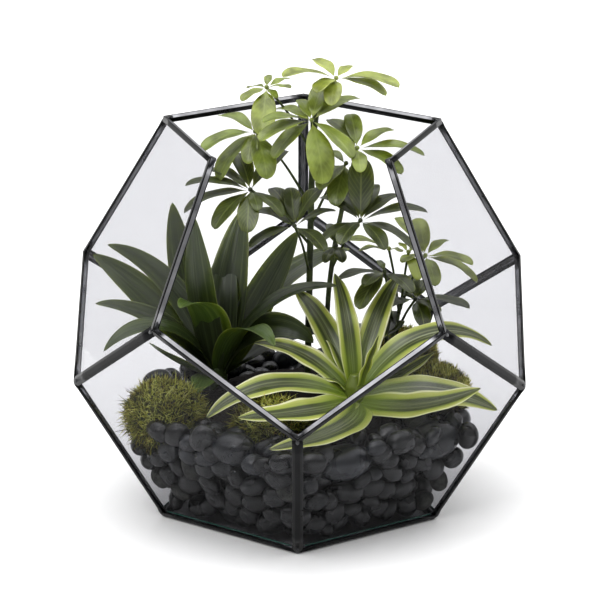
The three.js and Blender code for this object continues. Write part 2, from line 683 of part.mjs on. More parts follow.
// Half-width along a strap leaf, widest well below its middle
const strapOutline = (s) => lens(s + STRAP_BUTT, 1 - s, STRAP_TAPER);

// Half-width along a leaflet: a thin stalk, then a blade that is rounded at its tip
const leafletOutline = (s) => {
  const along = Math.max(0, (s - LEAFLET_STALK) / (1 - LEAFLET_STALK));
  return Math.max(LEAFLET_THIN, lens(along, 1 - along, LEAFLET_TAPER));
};

const STRAP = {
  stations: STRAP_STATIONS, outline: strapOutline, fold: STRAP_FOLD, thick: STRAP_THICK,
};
const LEAFLET = {
  stations: LEAFLET_STATIONS, outline: leafletOutline, fold: LEAFLET_FOLD, thick: LEAFLET_THICK,
};

function dracaena(crown, leaves) {
  const profile = CROWN.map(([r, z]) => new THREE.Vector2(r, z));
  const stump = new THREE.LatheGeometry(profile, SIDES.crown)
    .rotateX(Math.PI / 2).translate(...crown);
  const blades = leaves.map((leaf) => {
    const root = vec(crown).addScaledVector(heading(rad(leaf[0]), 0), STRAP_ROOT);
    root.z += STRAP_RISE * Math.sin(rad(leaf[1])) - STRAP_DROP;
    return blade(leaf, root, STRAP);
  });
  return join([solid(stump), ...blades]);
}

// A round tube through points
function tube(points, radius, steps, sides) {
  const circle = new THREE.Shape(Array.from({ length: sides }, (_, i) => {
    const turn = (2 * Math.PI * i) / sides;
    return new THREE.Vector2(radius * Math.cos(turn), radius * Math.sin(turn));
  }));
  const path = new THREE.CatmullRomCurve3(points.map(vec));
  return solid(new THREE.ExtrudeGeometry(circle, {
    steps, bevelEnabled: false, extrudePath: path,
  }));
}

// A stalk from the stem to a leaf, leaving the stem steeply and levelling off
function stalk(from, hub) {
  const middle = vec(from).lerp(vec(hub), 0.5);
  middle.z = THREE.MathUtils.lerp(from[2], hub[2], STALK_BOW);
  return tube([from, middle.toArray(), hub], STALK, STALK_STEPS, SIDES.stalk);
}

function umbrellaLeaf({ hub, from, droop, leaflets }) {
  const knuckle = solid(new THREE.IcosahedronGeometry(HUB, 0).translate(...hub));
  const blades = leaflets.map(([azimuth, lift, length]) => {
    const leaf = [azimuth, lift + droop / 2, lift - droop / 2, length,
      length * LEAFLET_WIDTH, 0, 0];
    const root = vec(hub).addScaledVector(heading(rad(azimuth), rad(lift)), LEAFLET_ROOT);
    return blade(leaf, root, LEAFLET);
  });
  return join([knuckle, stalk(from, hub), ...blades]);
}

function umbrellaStem({ stem, girth, leaves }) {
  const trunk = tube(stem, girth, STEM_STEPS * stem.length, SIDES.stem);
  return join([trunk, ...leaves.map(umbrellaLeaf)]);
}

// ---------------------------------------------------------------- the terrarium

function terrarium() {
  const group = new THREE.Group();
  group.add(...FACES.filter((face) => !face.open).map(pane));
  group.add(...frame());

  const hollows = sockets();
  const soil = cut(solid(soilBody(0)), [...hollows, ...plantHoles()]);
  const pebbles = [
    ...PEBBLE_RINGS.map((height) => ring(height, 0)),
    ...TOP_RINGS.map(([radius, height]) => ring(height, radius)),
    ...FLOOR_RINGS.map(([radius, height]) => ring(height, radius)),
  ].flat();
  const bed = cut(join([bedCore(), ...pebbles]),
    [solid(soilBody(GAP)), ...hollows, ...plantHoles()]);
  group.add(named('soil', geometryOf(soil), finish.soil));
  group.add(named('pebble_bed', geometryOf(bed), finish.stone));

  Object.entries(STONES).forEach(([name, [centre, halves, turn]]) => {
    group.add(named(name, stone(centre, halves, turn), finish.stone));
  });
  Object.entries(MOSS).forEach(([name, [centre, halves]]) => {
    group.add(named(name, cushion(centre, halves), finish.moss));
  });

  group.add(named('dracaena_green', geometryOf(dracaena(GREEN_CROWN, GREEN_LEAVES)),
    finish.green));
  group.add(named('dracaena_striped', geometryOf(dracaena(STRIPED_CROWN, STRIPED_LEAVES)),
    finish.striped));
  Object.entries(UMBRELLA).forEach(([name, plant]) => {
    group.add(named(name, geometryOf(umbrellaStem(plant)), finish.umbrella));
  });
  return group;
}

export default terrarium();
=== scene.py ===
"""A planted glass terrarium: came, glass, solder, river pebbles, soil, moss and its plants.

Shapes are worked out in millimetres as whole arrays and put into meshes in metres.
"""

from functools import partial

import bpy
import numpy as np
from bpy.props import FloatProperty, FloatVectorProperty, IntProperty, PointerProperty
from mathutils import Matrix, Vector


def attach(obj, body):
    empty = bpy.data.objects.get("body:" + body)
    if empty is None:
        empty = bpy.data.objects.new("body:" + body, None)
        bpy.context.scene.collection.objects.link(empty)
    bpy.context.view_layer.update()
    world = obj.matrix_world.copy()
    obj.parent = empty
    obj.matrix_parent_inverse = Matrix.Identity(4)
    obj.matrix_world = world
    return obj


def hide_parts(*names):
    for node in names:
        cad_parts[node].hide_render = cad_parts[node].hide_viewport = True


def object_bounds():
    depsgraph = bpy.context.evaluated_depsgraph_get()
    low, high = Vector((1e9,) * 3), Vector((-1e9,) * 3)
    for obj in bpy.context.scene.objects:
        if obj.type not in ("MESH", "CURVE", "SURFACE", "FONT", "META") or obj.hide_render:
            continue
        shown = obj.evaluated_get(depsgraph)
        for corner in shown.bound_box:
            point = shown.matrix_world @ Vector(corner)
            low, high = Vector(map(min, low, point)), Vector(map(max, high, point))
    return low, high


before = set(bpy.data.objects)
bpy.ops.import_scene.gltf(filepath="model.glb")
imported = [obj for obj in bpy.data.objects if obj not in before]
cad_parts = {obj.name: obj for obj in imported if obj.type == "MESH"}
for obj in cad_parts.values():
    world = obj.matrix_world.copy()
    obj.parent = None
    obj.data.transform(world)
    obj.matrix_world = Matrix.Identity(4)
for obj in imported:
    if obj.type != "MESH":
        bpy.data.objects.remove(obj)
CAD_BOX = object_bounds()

bl_info = {
    "name": "Planted glass terrarium",
    "version": (1, 0, 0),
    "blender": (4, 5, 0),
    "location": "3D View > Sidebar > Terrarium",
    "description": "Builds a soldered glass terrarium with its pebbles, moss and plants",
    "category": "Add Mesh",
}

MM = 0.001

# ---- the body's sizes, mm

EDGE = 127.0  # one edge of the dodecahedron
HEIGHT_STRETCH = 1.03  # it stands this much taller than a regular one
GLASS = 2.2
GAP = 0.3  # between a pane and the came's leaves
CAME_LEAF = 0.8  # thickness of the outer leaf, and of the inner one
CAME_INNER_LEAF = 0.9
CAME_REACH = 4.1  # how far the outer leaf laps a pane, and the inner one
CAME_INNER_REACH = 3.1
CAME_SLOT = 2.25  # where the slot for a pane ends, from the edge's own line
CAME_FLAT = 1.32  # where the flat along a bar's back ends
EDGE_LINE = 0.4  # half-width of the green line that a pane's cut edge shows
CHANNEL_BACK = -0.6  # how far past the edge's own line a channel's back lies
CHANNEL_REACH = 3.2
OUTER_LIFT = GAP + CAME_LEAF  # from the glass to the came's outside
CAME_ROUND = 0.32  # radius that the came's edges are worn to
# Along a channel's back, from its inside: the way and how bare the lead is there;
# that band of bare lead is also a painted highlight line
CHANNEL_BARE_AND_HIGHLIGHT = ((0, 0), (0.13, 0), (0.2, 1), (0.8, 1), (0.87, 0))
INNER_BARE_AND_REFLECTION = 0.42  # how bare the lead is on the inner leaves, which took less patina; the paler grey is also a painted reflection
HAND_WAVE = 34  # size and depth of the unevenness from drawing and soldering by hand
HAND_DEPTH = 0.05
BEAD_CROWN = 0.18  # a solder bead's height over its corner, and how far its rim dips in
BEAD_SINK = 0.1
BEAD_REACH = (3.2, 3.4)  # a bead's radius, and what a lobe along a bar adds to it
BEAD_SLOPE = (0.62, 0.24)  # its fall towards the rim, and what a lobe takes from it
BEAD_WAVE = 3.0  # size of a bead's own unevenness
BEAD_ROOT = 4  # how deep a bead's last point lies under its corner
EDGE_START = 6  # how far from a corner a cut edge's green line starts
STEP = 72.0  # from one side of a pentagon to the next, degrees

GOLDEN = (1 + 5 ** 0.5) / 2
BASE_RADIUS = EDGE / (2 * np.sin(np.radians(36)))
GIRDLE_RADIUS = GOLDEN * BASE_RADIUS
OUTER_STOREY = HEIGHT_STRETCH * (EDGE ** 2 - (GIRDLE_RADIUS - BASE_RADIUS) ** 2) ** 0.5
MIDDLE_STOREY = HEIGHT_STRETCH * (
    EDGE ** 2 - (2 * GIRDLE_RADIUS * np.sin(np.radians(18))) ** 2) ** 0.5
LEVELS = {
    "base": (BASE_RADIUS, OUTER_LIFT),
    "lower": (GIRDLE_RADIUS, OUTER_LIFT + OUTER_STOREY),
    "upper": (GIRDLE_RADIUS, OUTER_LIFT + OUTER_STOREY + MIDDLE_STOREY),
    "top": (BASE_RADIUS, OUTER_LIFT + 2 * OUTER_STOREY + MIDDLE_STOREY),
}
CENTRE = np.array([0, 0, (LEVELS["base"][1] + LEVELS["top"][1]) / 2])

# Random draws of each kind of piece start from its own number
SEEDS = {"came": 5, "solder": 40, "stones": 70, "front": 90, "loose": 130, "soil": 17,
         "moss": 200, "straps": 300, "stems": 400, "leaflets": 500}

# ---- the planting, mm

# Strap leaves: azimuth from the front towards +X, lift at the root and at the tip,
# length, width, roll about the leaf's own line, sweep of the azimuth along it
GREEN_CROWN = (-63, 30, 90)
GREEN_LEAVES = (
    (-127, 64, 84, 134, 28, -30, 0), (-41, 72, 92, 131, 34, 0, 0),
    (161, 76, 53, 126, 34, 0, 0), (113, 62, 57, 122, 28, 50, 0),
    (-103, 52, 30, 130, 29, -45, 0), (-106, 76, 8, 134, 20, -75, 0),
    (-79, 56, 3, 112, 22, -30, 0), (-62, 66, -50, 116, 20, -20, 0),
    (-22, 86, -8, 108, 34, 0, 0), (30, 68, -28, 110, 26, 0, 0),
    (-46, 27, 42, 78, 26, 0, 0), (118, 66, -4, 148, 26, 20, 0),
    (80, 70, -2, 124, 24, 15, 0),
    (78, 70, -46, 92, 34, 25, 0), (173, 88, 24, 104, 28, 0, 0),
    (-12, 24, -14, 64, 24, 0, 0), (-145, 52, 0, 88, 26, 0, 0),
    (92, 42, 0, 84, 30, 10, 0),
)
STRIPED_CROWN = (41, -24, 94)
STRIPED_LEAVES = (
    (-150, 50, 8, 108, 21, -20, 0), (-164, 78, 22, 96, 18, 0, 0),
    (155, 62, 17, 105, 20, 20, 0), (103, 58, -43, 122, 20, 35, 0),
    (77, 18, -26, 107, 25, 42, 0), (38, 5, 28, 108, 27, 32, 50),
    (106, 24, 32, 65, 12, 30, 0), (12, 4, -6, 136, 25, -22, -85),
    (-18, 10, 4, 128, 28, -20, -50), (-64, 28, -40, 125, 22, -28, 0),
    (-108, 45, -10, 86, 20, -25, 0), (-152, 52, 3, 81, 12, 0, 0),
    (46, 70, 66, 53, 11, 0, 0), (124, 52, -27, 78, 11, 20, 0),
    (-96, 50, -55, 41, 11, 0, 0), (176, 46, -20, 92, 18, 0, 0),
)
UNLIT_LENGTH = 118  # a dark dracaena's leaf this long gets none of the painted light, and stays dark
STRAP_ROOT = 4  # how far from its crown's axis a leaf springs
STRAP_RISE = 8  # how much higher an upright leaf springs than a flat one
STRAP_DROP = 4  # how far under the crown's own height the flattest leaf springs
STRAP_FOOT = 0.015  # keeps a leaf's root from being a point
STRAP_POWERS = (0.5, 0.7)  # of the way from the root and of the way from the tip
CROWN = ((4, -24), (7.5, -4), (7.5, 8), (3.5, 17))  # a crown's radii and heights
PLAIN_SKIN = 0.75  # where on a leaf, across and up, a crown and a knuckle take their colour

# Umbrella trees: a stem's girth and its line, then its leaves: where the leaflets spring,
# where the stalk leaves the stem, the leaflets' droop, how young and light the leaf is, and
# each leaflet's azimuth, mean lift and length
UMBRELLA = {
    "umbrella_main_stem": (
        2.4, ((5, 48, 66), (6, 50, 150), (7, 48, 225), (8, 43, 268), (11, 42, 300)), (
            ((25, 44, 321), (11, 42, 299), 40, 1.0, ((-145, 13, 30), (-59, 4, 46), (147, 9, 22),
              (67, -6, 50), (62, -15, 42), (-27, -11, 32), (-7, -29, 32))),
            ((7, 22, 294), (7, 45, 262), 36, 0.75, ((163, 29, 36), (-154, 22, 24), (-132, -1, 38),
              (-57, 2, 42), (-52, -14, 48), (-52, -38, 42), (18, -60, 50), (54, -35, 44),
              (126, 11, 44))),
            ((-35, 30, 283), (6, 48, 222), 44, 0.66, ((-134, 4, 38), (-59, -16, 46), (-56, -50, 46),
              (-12, -42, 30), (16, -43, 44))),
            ((-27, 46, 313), (8, 44, 262), 34, 0.8, ((-136, -15, 20), (-43, -16, 26), (125, 8, 20),
              (52, 4, 22), (-4, -44, 44), (174, 21, 14), (28, -20, 16))),
            ((-38, 8, 244), (6, 50, 190), 40, 0.3, ((-159, 30, 36), (-88, 0, 48), (-82, -22, 52),
              (-47, -38, 42), (-3, -44, 38), (16, -28, 24), (130, 31, 42), (52, -30, 34),
              (-120, 12, 38))),
            ((-5, 2, 218), (6, 50, 168), 40, 0.22, ((-117, 6, 38), (-146, 31, 38), (-171, 42, 32),
              (133, 38, 36), (100, 15, 32), (40, -22, 36), (-63, -22, 38))),
            ((33, 34, 258), (7, 49, 206), 40, 0.6, ((-138, 5, 26), (-32, -22, 38), (-14, -41, 40))),
        )),
    "umbrella_second_stem": (
        1.9, ((20, 34, 66), (20, 36, 140), (24, 34, 186), (31, 27, 228), (37, 21, 258)), (
            ((41, 18, 274), (37, 21, 257), 40, 0.7, ((-140, 21, 36), (-168, 33, 32), (127, 12, 34),
              (87, -9, 50), (54, -22, 42), (5, -28, 28))),
            ((44, 8, 221), (23, 34, 176), 42, 0.22, ((178, 72, 46), (159, 30, 36), (-147, 29, 36),
              (-125, 14, 38), (-27, -21, 34), (35, -30, 34), (80, -31, 46), (90, 4, 50), (-70, -30, 36),
              (125, 18, 38))),
            ((26, 30, 195), (21, 35, 154), 36, 0.25, ((-160, 33, 20), (13, -21, 22), (-25, -27, 20),
              (146, 7, 20))),
        )),
    "umbrella_seedling": (
        1.7, ((61, 46, 66), (62, 47, 90), (70, 53, 115), (76, 54, 142)), (
            ((94, 50, 182), (76, 54, 140), 44, 0.85, ((-132, 35, 38), (-164, 41, 32), (133, 14, 24),
              (67, -8, 38), (79, -29, 44), (16, -37, 30), (-43, -4, 26))),
            ((87, 44, 149), (73, 55, 118), 36, 0.15, ((-136, -1, 28), (-44, -4, 32), (12, -27, 32),
              (159, 13, 26), (72, -7, 42), (37, -11, 28), (-174, 29, 24))),
            ((66, 40, 190), (75, 54, 134), 40, 0.95, ((-89, -8, 22), (41, 0, 14), (-153, 1, 12),
              (-77, 10, 34))),
            ((81, 42, 187), (76, 54, 138), 34, 0.9, ((19, -39, 26), (-147, 15, 12), (151, 6, 12))),
            ((63, 36, 173), (71, 53, 117), 36, 0.32, ((-30, -10, 30), (-74, -9, 36), (-33, -34, 40),
              (34, -15, 36), (-163, 15, 14))),
            ((65, 30, 122), (62, 47, 90), 20, 0.05, ((168, 23, 30), (-168, 25, 32), (144, 20, 22))),
        )),
}
LEAFLET_WIDTH = 0.44  # share of a leaflet's length
LEAFLET_STALK = 0.09  # share of a leaflet's length that is bare
LEAFLET_FOOT = 0.06  # half-width of that stalk, as a share of the blade's
LEAFLET_POWERS = (0.65, 0.5)  # of the way from the blade's foot and from its tip
LEAFLET_ROOT = 1.6  # how far from the knuckle's middle a leaflet springs
KNUCKLE = 1.8  # radius of the knuckle at a stalk's end
STALK_RADII = (1.2, 0.864, 1.02)  # at its foot, its middle and its end
STALK_BOW = 0.58  # share of a stalk's rise by its middle
STEM_TAPER = (1.08, 1, 0.9)  # a stem's radii as shares of its girth
ASIDE = (0.31, 0.95, 0.05)  # a direction that no stem or stalk takes
KNOBS = (0.05, 5)  # height, as a share of the radius, and size of a stem's knobs
BEND = 1.4  # a blade bends as this power of the way along it
ARC_STEPS = 40
WIDEST = 0.47  # brings a blade's widest half-width to about one
CROWDING = 1.15  # over one, a blade's rings lie closer towards its tip
THINNING = (0.2, 0.25)  # share of its width under which a blade thins, and its least share
MIDRIB = 0.1  # width of the groove along it
FULL_PLEATS = 6  # half-width from which the pleats and the groove are at full depth
ROUND = 6.28  # a full turn, radians
OUT_OF_STEP = 1.9  # by how much one edge's ripples are ahead of the other's
YOUTH_SPREAD = 0.16  # how much the leaflets of one leaf differ in tint

# Stones on the bed: centre, half-lengths, turn about Z in degrees, how pale
STONES = {
    "stone_front": ((32, -93, 66), (25, 16, 14), 25, 0.85),
    "stone_front_left": ((-47, -94, 76), (19, 14, 13), -25, 0.7),
    "stone_right": ((100, -47, 68), (22, 15, 14), 40, 0.75),
    "stone_back_left": ((-108, 20, 88), (15, 12, 10), 70, 0.5),
    "stone_back_right": ((108, 36, 88), (13, 11, 11), -40, 0.7),
}

# Pebbles that show well through the front panes: centre, half-lengths, turn
FRONT_PEBBLES = (
    ((-68, -85, 65), (13, 9, 8), -20), ((-80, -65, 51), (12, 9, 8), 60),
    ((-34, -112, 68), (10, 8, 8), 10), ((-46, -92, 53), (10, 9, 8), 70),
    ((-15, -119, 62), (12, 11, 10), 30), ((-6, -121, 52), (12, 10, 9), 0),
    ((-124, -39, 55), (9, 7, 7), 30), ((-117, -35, 42), (8, 7, 7), 0),
    ((-106, -37, 30), (10, 8, 7), 20), ((-89, -44, 24), (12, 9, 8), 10),
    ((9, -124, 58), (8, 8, 7), 0), ((68, -87, 64), (10, 8, 8), 10),
    ((82, -72, 60), (9, 8, 8), 80), ((58, -104, 79), (8, 6, 6), 0),
    ((57, -90, 54), (7, 6, 6), 0), ((126, -42, 69), (11, 8, 8), 80),
    ((116, -41, 50), (9, 9, 8), 0), ((100, -48, 44), (12, 10, 9), 40),
    ((107, -35, 30), (9, 7, 7), 80), ((78, -57, 32), (14, 11, 9), 10),
    ((94, -34, 14), (9, 8, 7), 0), ((12, -110, 41), (12, 9, 8), 0),
    ((-62, -66, 26), (12, 9, 8), 20), ((-32, -91, 32), (13, 10, 9), -10),
    ((38, -92, 40), (14, 10, 9), 15),
)

# Cushions of moss: centre, half-lengths
MOSS = {
    "moss_left": ((-100, -36, 80), (30, 28, 28)),
    "moss_right": ((101, -6, 91), (28, 26, 22)),
    "moss_front": ((-20, -62, 85), (28, 22, 19)),
    "moss_back_right": ((82, 74, 94), (24, 20, 22)),
}
# How a cushion's shoots grow: length, radius, pull upwards, lean and curl
CURLY = (3.6, 0.46, 0.1, 0.6, 1.1)
BRISTLY = (5.0, 0.3, 1.1, 0.28, 0.2)
HABITS = {"moss_left": CURLY, "moss_right": BRISTLY, "moss_front": CURLY,
          "moss_back_right": BRISTLY}
LOWEST_SHOOT = -0.75  # share of a cushion's half-height
LUMP = 0.93  # a lump's size as a share of its cushion's
ROOTED = 0.89  # the same for the shoots' feet, a little inside the lump
LUMP_SHADE = 0.25  # a lump is painted dark as shade, as it shows only between the shoots
SHOOT_TINT = (0.5, 0.3, 0.2)  # mean tint, its drift over the cushion and a shoot's own spread
DRIFT = 0.4  # size of that drift, as a share of a cushion's half-lengths
SHADED = (0.4, 0.15)  # how much lower the tint gets under a cushion, and from which height
TUFTS = ((0.045, 0.55), (0.03, 0.22))  # height and size of a cushion's swells, large and small
SHOOT_TALL = (0.4, 1.1)  # shares of the habit's length
SHOOT_RINGS = (0.0, 0.4, 0.75)  # the ways along a shoot at which it has three corners
SHOOT_TAPER = 0.6  # share of its girth that a shoot would lose by its tip

SOIL = ((56, 20), (80, 44), (84, 74), (66, 86), (36, 90))  # the mound's radii and heights
SOIL_CRUMBS = ((0.96, 4.5), (0.576, 2.0))  # height and size of its crumbs, large and small
SOIL_SINK = 0.96  # how far the whole surface is pressed in, so crumbs and hollows balance
PEBBLE_INSET = 3.7  # distance of the pebbles from the outside of the glass
BED_TOP = 78.0
BED_FILL = 0.8  # under one, more loose pebbles lie high in the bed
BED_BAND = 34  # how far in from the glass the loose pebbles lie
BED_FOOT = BASE_RADIUS * 0.81  # the glass's distance from the axis, at the bottom
BED_FLARE = 0.545  # how much that grows with the height
LOOSE_HALVES = (8, 13)
LOOSE_WIDTH = (0.74, 0.92)  # shares of a loose pebble's length
LOOSE_THICKNESS = (0.55, 0.76)
STONE_CLEARING = 1.13  # a stone's place is kept clear of loose pebbles, and this much further out
KEPT_OUT = (1.05, 0.5)  # share of a kept-out ball that is cleared, and how fast
SINK = 0.5  # share of its height over the bed's top that a pebble sinks in one round
WALL_TILT = -60  # degrees that a pebble at the wall leans with it
LIE_SPREAD = (0.6, 0.3)  # how much a pebble's lean and tilt vary, radians
FRONT_TILT = -50  # the same for the front pebbles
SPOTTED = 0.3  # share of the front pebbles that are speckled
DEPTH_SHADE = (0.1, 0.9, 1.5)  # painted shade by height: how pale the lowest pebbles are, what the top adds, and its power
MOSTLY_DARK = 1.3  # power of the loose pebbles' random tint: over one, more are dark
SQUARED = (0.9, 0.7)  # powers that square a worn ball a little
WORN = (0.97, 0.055)  # a worn pebble's radius and its swells, as shares of its half-lengths
WORN_WAVE = 1.5  # size of those swells, on a unit ball
PACKED = 0.93  # a pebble is kept apart as a ball of this share of its mean half-length
NUDGE = 0.36  # share of an overlap that one round takes away
STONE_ROOM = 4  # room that the loose pebbles leave round a stone, and round moss
MOSS_ROOM = 1

# Rings and sides of the balls that the pieces start from
STONE_GRID = (24, 40)
FRONT_GRID = (16, 28)
LOOSE_GRID = (8, 13)
CUSHION_GRID = (30, 48)
KNUCKLE_GRID = (6, 10)

# ---- how far across the cells of each finish's pattern are, mm

PATINA_CLOUD = 18.2  # where the patina took more or less
LEAD_GRAIN = 1.11  # finer on real came, and drawn this coarse to show
SOLDER_CLOUD = 4.17
MOTTLE = 9.1  # of a pebble's shade
CRYSTALS = 5.88  # clumps of crystals, with finer ones inside them
PITS = 14.3  # shallow hollows that a pebble was worn to
CRUMB = 2.38  # of soil
MOSS_PATCH = 13.33
LEAFLET_CLOUD = 13.33
BARK = 6.25
STREAKS = (16.0, 1.1, 9.0)  # streaks across a leaf and along it, and their shift by its tint

# ---- the photograph's view

VIEW_AZIMUTH = 0.53
VIEW_ELEVATION = 17.13
VIEW_ROLL = 0.387
VIEW_DISTANCE = 2502.8
VIEW_TARGET = (-0.52, 0.0, 160.98)
FOCAL_PIXELS = 3348.8
IMAGE_PIXELS = 600
SENSOR = 36.0
FLOOR_REACH = 7.0  # metres

# Soft lamps, far off: name, the way they lie in (azimuth from the front towards +X and
# height, degrees), apparent width in degrees, share of the lamp strength
LAMPS = (
    ("key_softbox", (-80, 60), 80, 0.75),
    ("top_softbox", (120, 72), 90, 1.07),
    ("glint_spot", (-28, 50), 22, 0.28),
)


# ---- helpers

WAVE_TRIM = 0.8  # brings the noise's bumps to their size and its height to about one
SHARE, UNDER, OVER = 0, 6, 7  # a colour mix's sockets


def linear(hex_colour):
    """An sRGB hex colour as linear red, green, blue and one for alpha."""
    value = np.array([int(hex_colour[i:i + 2], 16) for i in (1, 3, 5)]) / 255
    low, high = value / 12.92, ((value + 0.055) / 1.055) ** 2.4
    return (*np.where(value <= 0.04045, low, high).tolist(), 1.0)


def add(tree, kind, inputs=None, stops=(), **settings):
    """A shader node of that kind: its settings, its inputs (a value, a socket or a node,
    which stands for its first live output) and its ramp's stops."""
    made = tree.nodes.new("ShaderNode" + kind)
    for name, value in settings.items():
        setattr(made, name, value)
    for name, value in (inputs or {}).items():
        if isinstance(value, bpy.types.Node):
            value = next(socket for socket in value.outputs if socket.enabled)
        if isinstance(value, bpy.types.NodeSocket):
            tree.links.new(value, made.inputs[name])
        else:
            made.inputs[name].default_value = value
    for place, (position, colour) in enumerate(stops):
        elements = made.color_ramp.elements
        stop = elements[place] if place < 2 else elements.new(position)
        stop.position = position
        stop.color = linear(colour)
    return made


def new_material(name):
    """An empty node material, and the function that adds nodes to it."""
    made = bpy.data.materials.new(name)
    made.use_nodes = True
    made.node_tree.nodes.clear()
    return made, partial(add, made.node_tree)


def show(made, shader):
    """Links a shader to the material's output and gives the material."""
    add(made.node_tree, "OutputMaterial", {"Surface": shader})
    return made


def cells(size):
    """The Scale of a pattern whose cells are that many millimetres across."""
    return 1 / (size * MM)


def unit(vectors):
    """The vectors, each made one long."""
    return vectors / np.linalg.norm(vectors, axis=-1, keepdims=True)


def circle(sides):
    """That many even turns round a circle, in radians."""
    return 2 * np.pi * np.arange(sides) / sides


def heading(turn, lift):
    """The direction with this azimuth from the front towards +X and this lift, radians."""
    return np.stack([np.cos(lift) * np.sin(turn), -np.cos(lift) * np.cos(turn),
                     np.sin(lift)], -1)


def waves(points, size, seed, count=7):
    """Smooth noise from about -1 to 1: sines along random directions, added up, whose
    bumps are about the given size."""
    rng = np.random.default_rng(seed)
    ways = rng.normal(size=(count, 3)) * (np.pi / size) * WAVE_TRIM
    phases = rng.uniform(0, 2 * np.pi, count)
    return np.sin(points @ ways.T + phases).sum(-1) / count ** 0.5 * WAVE_TRIM


def swells(points, kinds, seed):
    """Noise of several kinds added up, each kind a height and a size."""
    return sum(height * waves(points, size, seed + k) for k, (height, size) in enumerate(kinds))


def ring_faces(rings, sides):
    """The faces of a closed body made of a first point, rings of points and a last one."""
    ring = 1 + np.arange(rings * sides).reshape(rings, sides)
    after = np.roll(ring, -1, axis=1)
    quads = np.stack([ring[:-1], after[:-1], after[1:], ring[1:]], -1).reshape(-1, 4)
    start = np.stack([np.zeros(sides, int), after[0], ring[0]], -1)
    end = np.stack([np.full(sides, 1 + rings * sides), ring[-1], after[-1]], -1)
    return [quads, np.concatenate([start, end])]


def volume(points, faces):
    """Six times the volume that the faces enclose, positive if they point outwards."""
    total = 0.0
    for part in faces:
        for k in range(1, part.shape[1] - 1):
            a, b, c = (points[part[:, i]] for i in (0, k, k + 1))
            total += np.einsum("ij,ij->", a, np.cross(b, c))
    return total


def bodies(points, rings, sides, uv=0.0, tint=0.5):
    """Closed bodies that share one layout: each a first point, rings of points and a last
    one. The uv is the same for all, the tint one value or one for each body."""
    size = 2 + rings * sides
    points = np.reshape(points, (-1, size, 3))
    copies = len(points)
    faces = ring_faces(rings, sides)
    if volume(points[0] - points[0].mean(0), faces) < 0:
        faces = [part[:, ::-1] for part in faces]
    shift = np.arange(copies)[:, None, None] * size
    return {
        "points": points.reshape(-1, 3),
        "faces": [(part + shift).reshape(-1, part.shape[1]) for part in faces],
        "uv": np.broadcast_to(uv, (copies, size, 2)).reshape(-1, 2),
        "tint": np.repeat(np.broadcast_to(tint, copies), size),
    }


def closed_body(start, ring, end, **extras):
    """One closed body: a first point, an array of rings by sides of points, a last point."""
    points = np.concatenate([[start], ring.reshape(-1, 3), [end]])
    return bodies(points, *ring.shape[:2], **extras)


def make_piece(name, shapes, finish, replaced=()):
    """Joins shapes into one smooth mesh object that rides on the body."""
    points, uv, tint = (np.concatenate([shape[part] for shape in shapes])
                        for part in ("points", "uv", "tint"))
    points = np.clip(points * MM, *np.array(CAD_BOX))  # solder or a leaf's tip may reach past
    starts = np.cumsum([0] + [len(shape["points"]) for shape in shapes])
    faces = [part + first for shape, first in zip(shapes, starts) for part in shape["faces"]]
    corners = np.concatenate([part.ravel() for part in faces])
    sizes = np.concatenate([np.full(len(part), part.shape[1]) for part in faces])
    mesh = bpy.data.meshes.new(name)
    mesh.vertices.add(len(points))
    mesh.vertices.foreach_set("co", np.float32(points).ravel())
    mesh.loops.add(len(corners))
    mesh.loops.foreach_set("vertex_index", np.int32(corners))
    mesh.polygons.add(len(sizes))
    mesh.polygons.foreach_set("loop_start", np.int32(np.cumsum(sizes) - sizes))
    mesh.update(calc_edges=True)
    mesh.uv_layers.new(name="leaf").data.foreach_set("uv", np.float32(uv[corners]).ravel())
    mesh.attributes.new("tint", "FLOAT", "POINT").data.foreach_set("value", np.float32(tint))
    mesh.shade_smooth()
    mesh.materials.append(finish)
    made = bpy.data.objects.new(name, mesh)
    bpy.context.scene.collection.objects.link(made)
    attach(made, "root")
    if replaced:
        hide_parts(*replaced)


def about(axis, angle):
    """Rotations about the X, Y or Z axis, 0 to 2, by angles in radians: copies by 3 by 3."""
    angle = np.atleast_1d(angle)
    b, c = (axis + 1) % 3, (axis + 2) % 3
    made = np.zeros((len(angle), 3, 3))
    made[:, axis, axis] = 1
    made[:, b, b] = made[:, c, c] = np.cos(angle)
    made[:, b, c] = -np.sin(angle)
    made[:, c, b] = np.sin(angle)
    return made


def turned(azimuth, lean=0.0, tilt=0.0):
    """Rotations by the tilt about X, then the lean about Y, then the azimuth about Z."""
    return about(2, azimuth) @ about(1, lean) @ about(0, tilt)


def sphere(rings, sides):
    """A unit ball: a pole, rings at even angles down from it, and the other pole."""
    down = np.pi * np.arange(1, rings + 1)[:, None] / (rings + 1)
    around = circle(sides)
    ring = np.stack([np.sin(down) * np.cos(around), np.sin(down) * np.sin(around),
                     np.cos(down) + 0 * around], -1)
    return np.concatenate([[[0, 0, 1]], ring.reshape(-1, 3), [[0, 0, -1]]])


# ---- the dodecahedron


def corner(level, azimuth):
    """A corner of the outer glass: on the named ring, at an azimuth in degrees."""
    radius, height = LEVELS[level]
    return radius * heading(np.radians(azimuth), 0.0) + (0, 0, height)


def face_of(name, corners):
    """A face's corners, centre and outward normal, and whether it has no pane."""
    corners = np.array(corners)
    normal = unit(np.cross(corners[1] - corners[0], corners[2] - corners[0]))
    return {"name": name, "corners": corners, "centre": corners.mean(0), "normal": normal,
            "open": name in ("front", "mouth")}


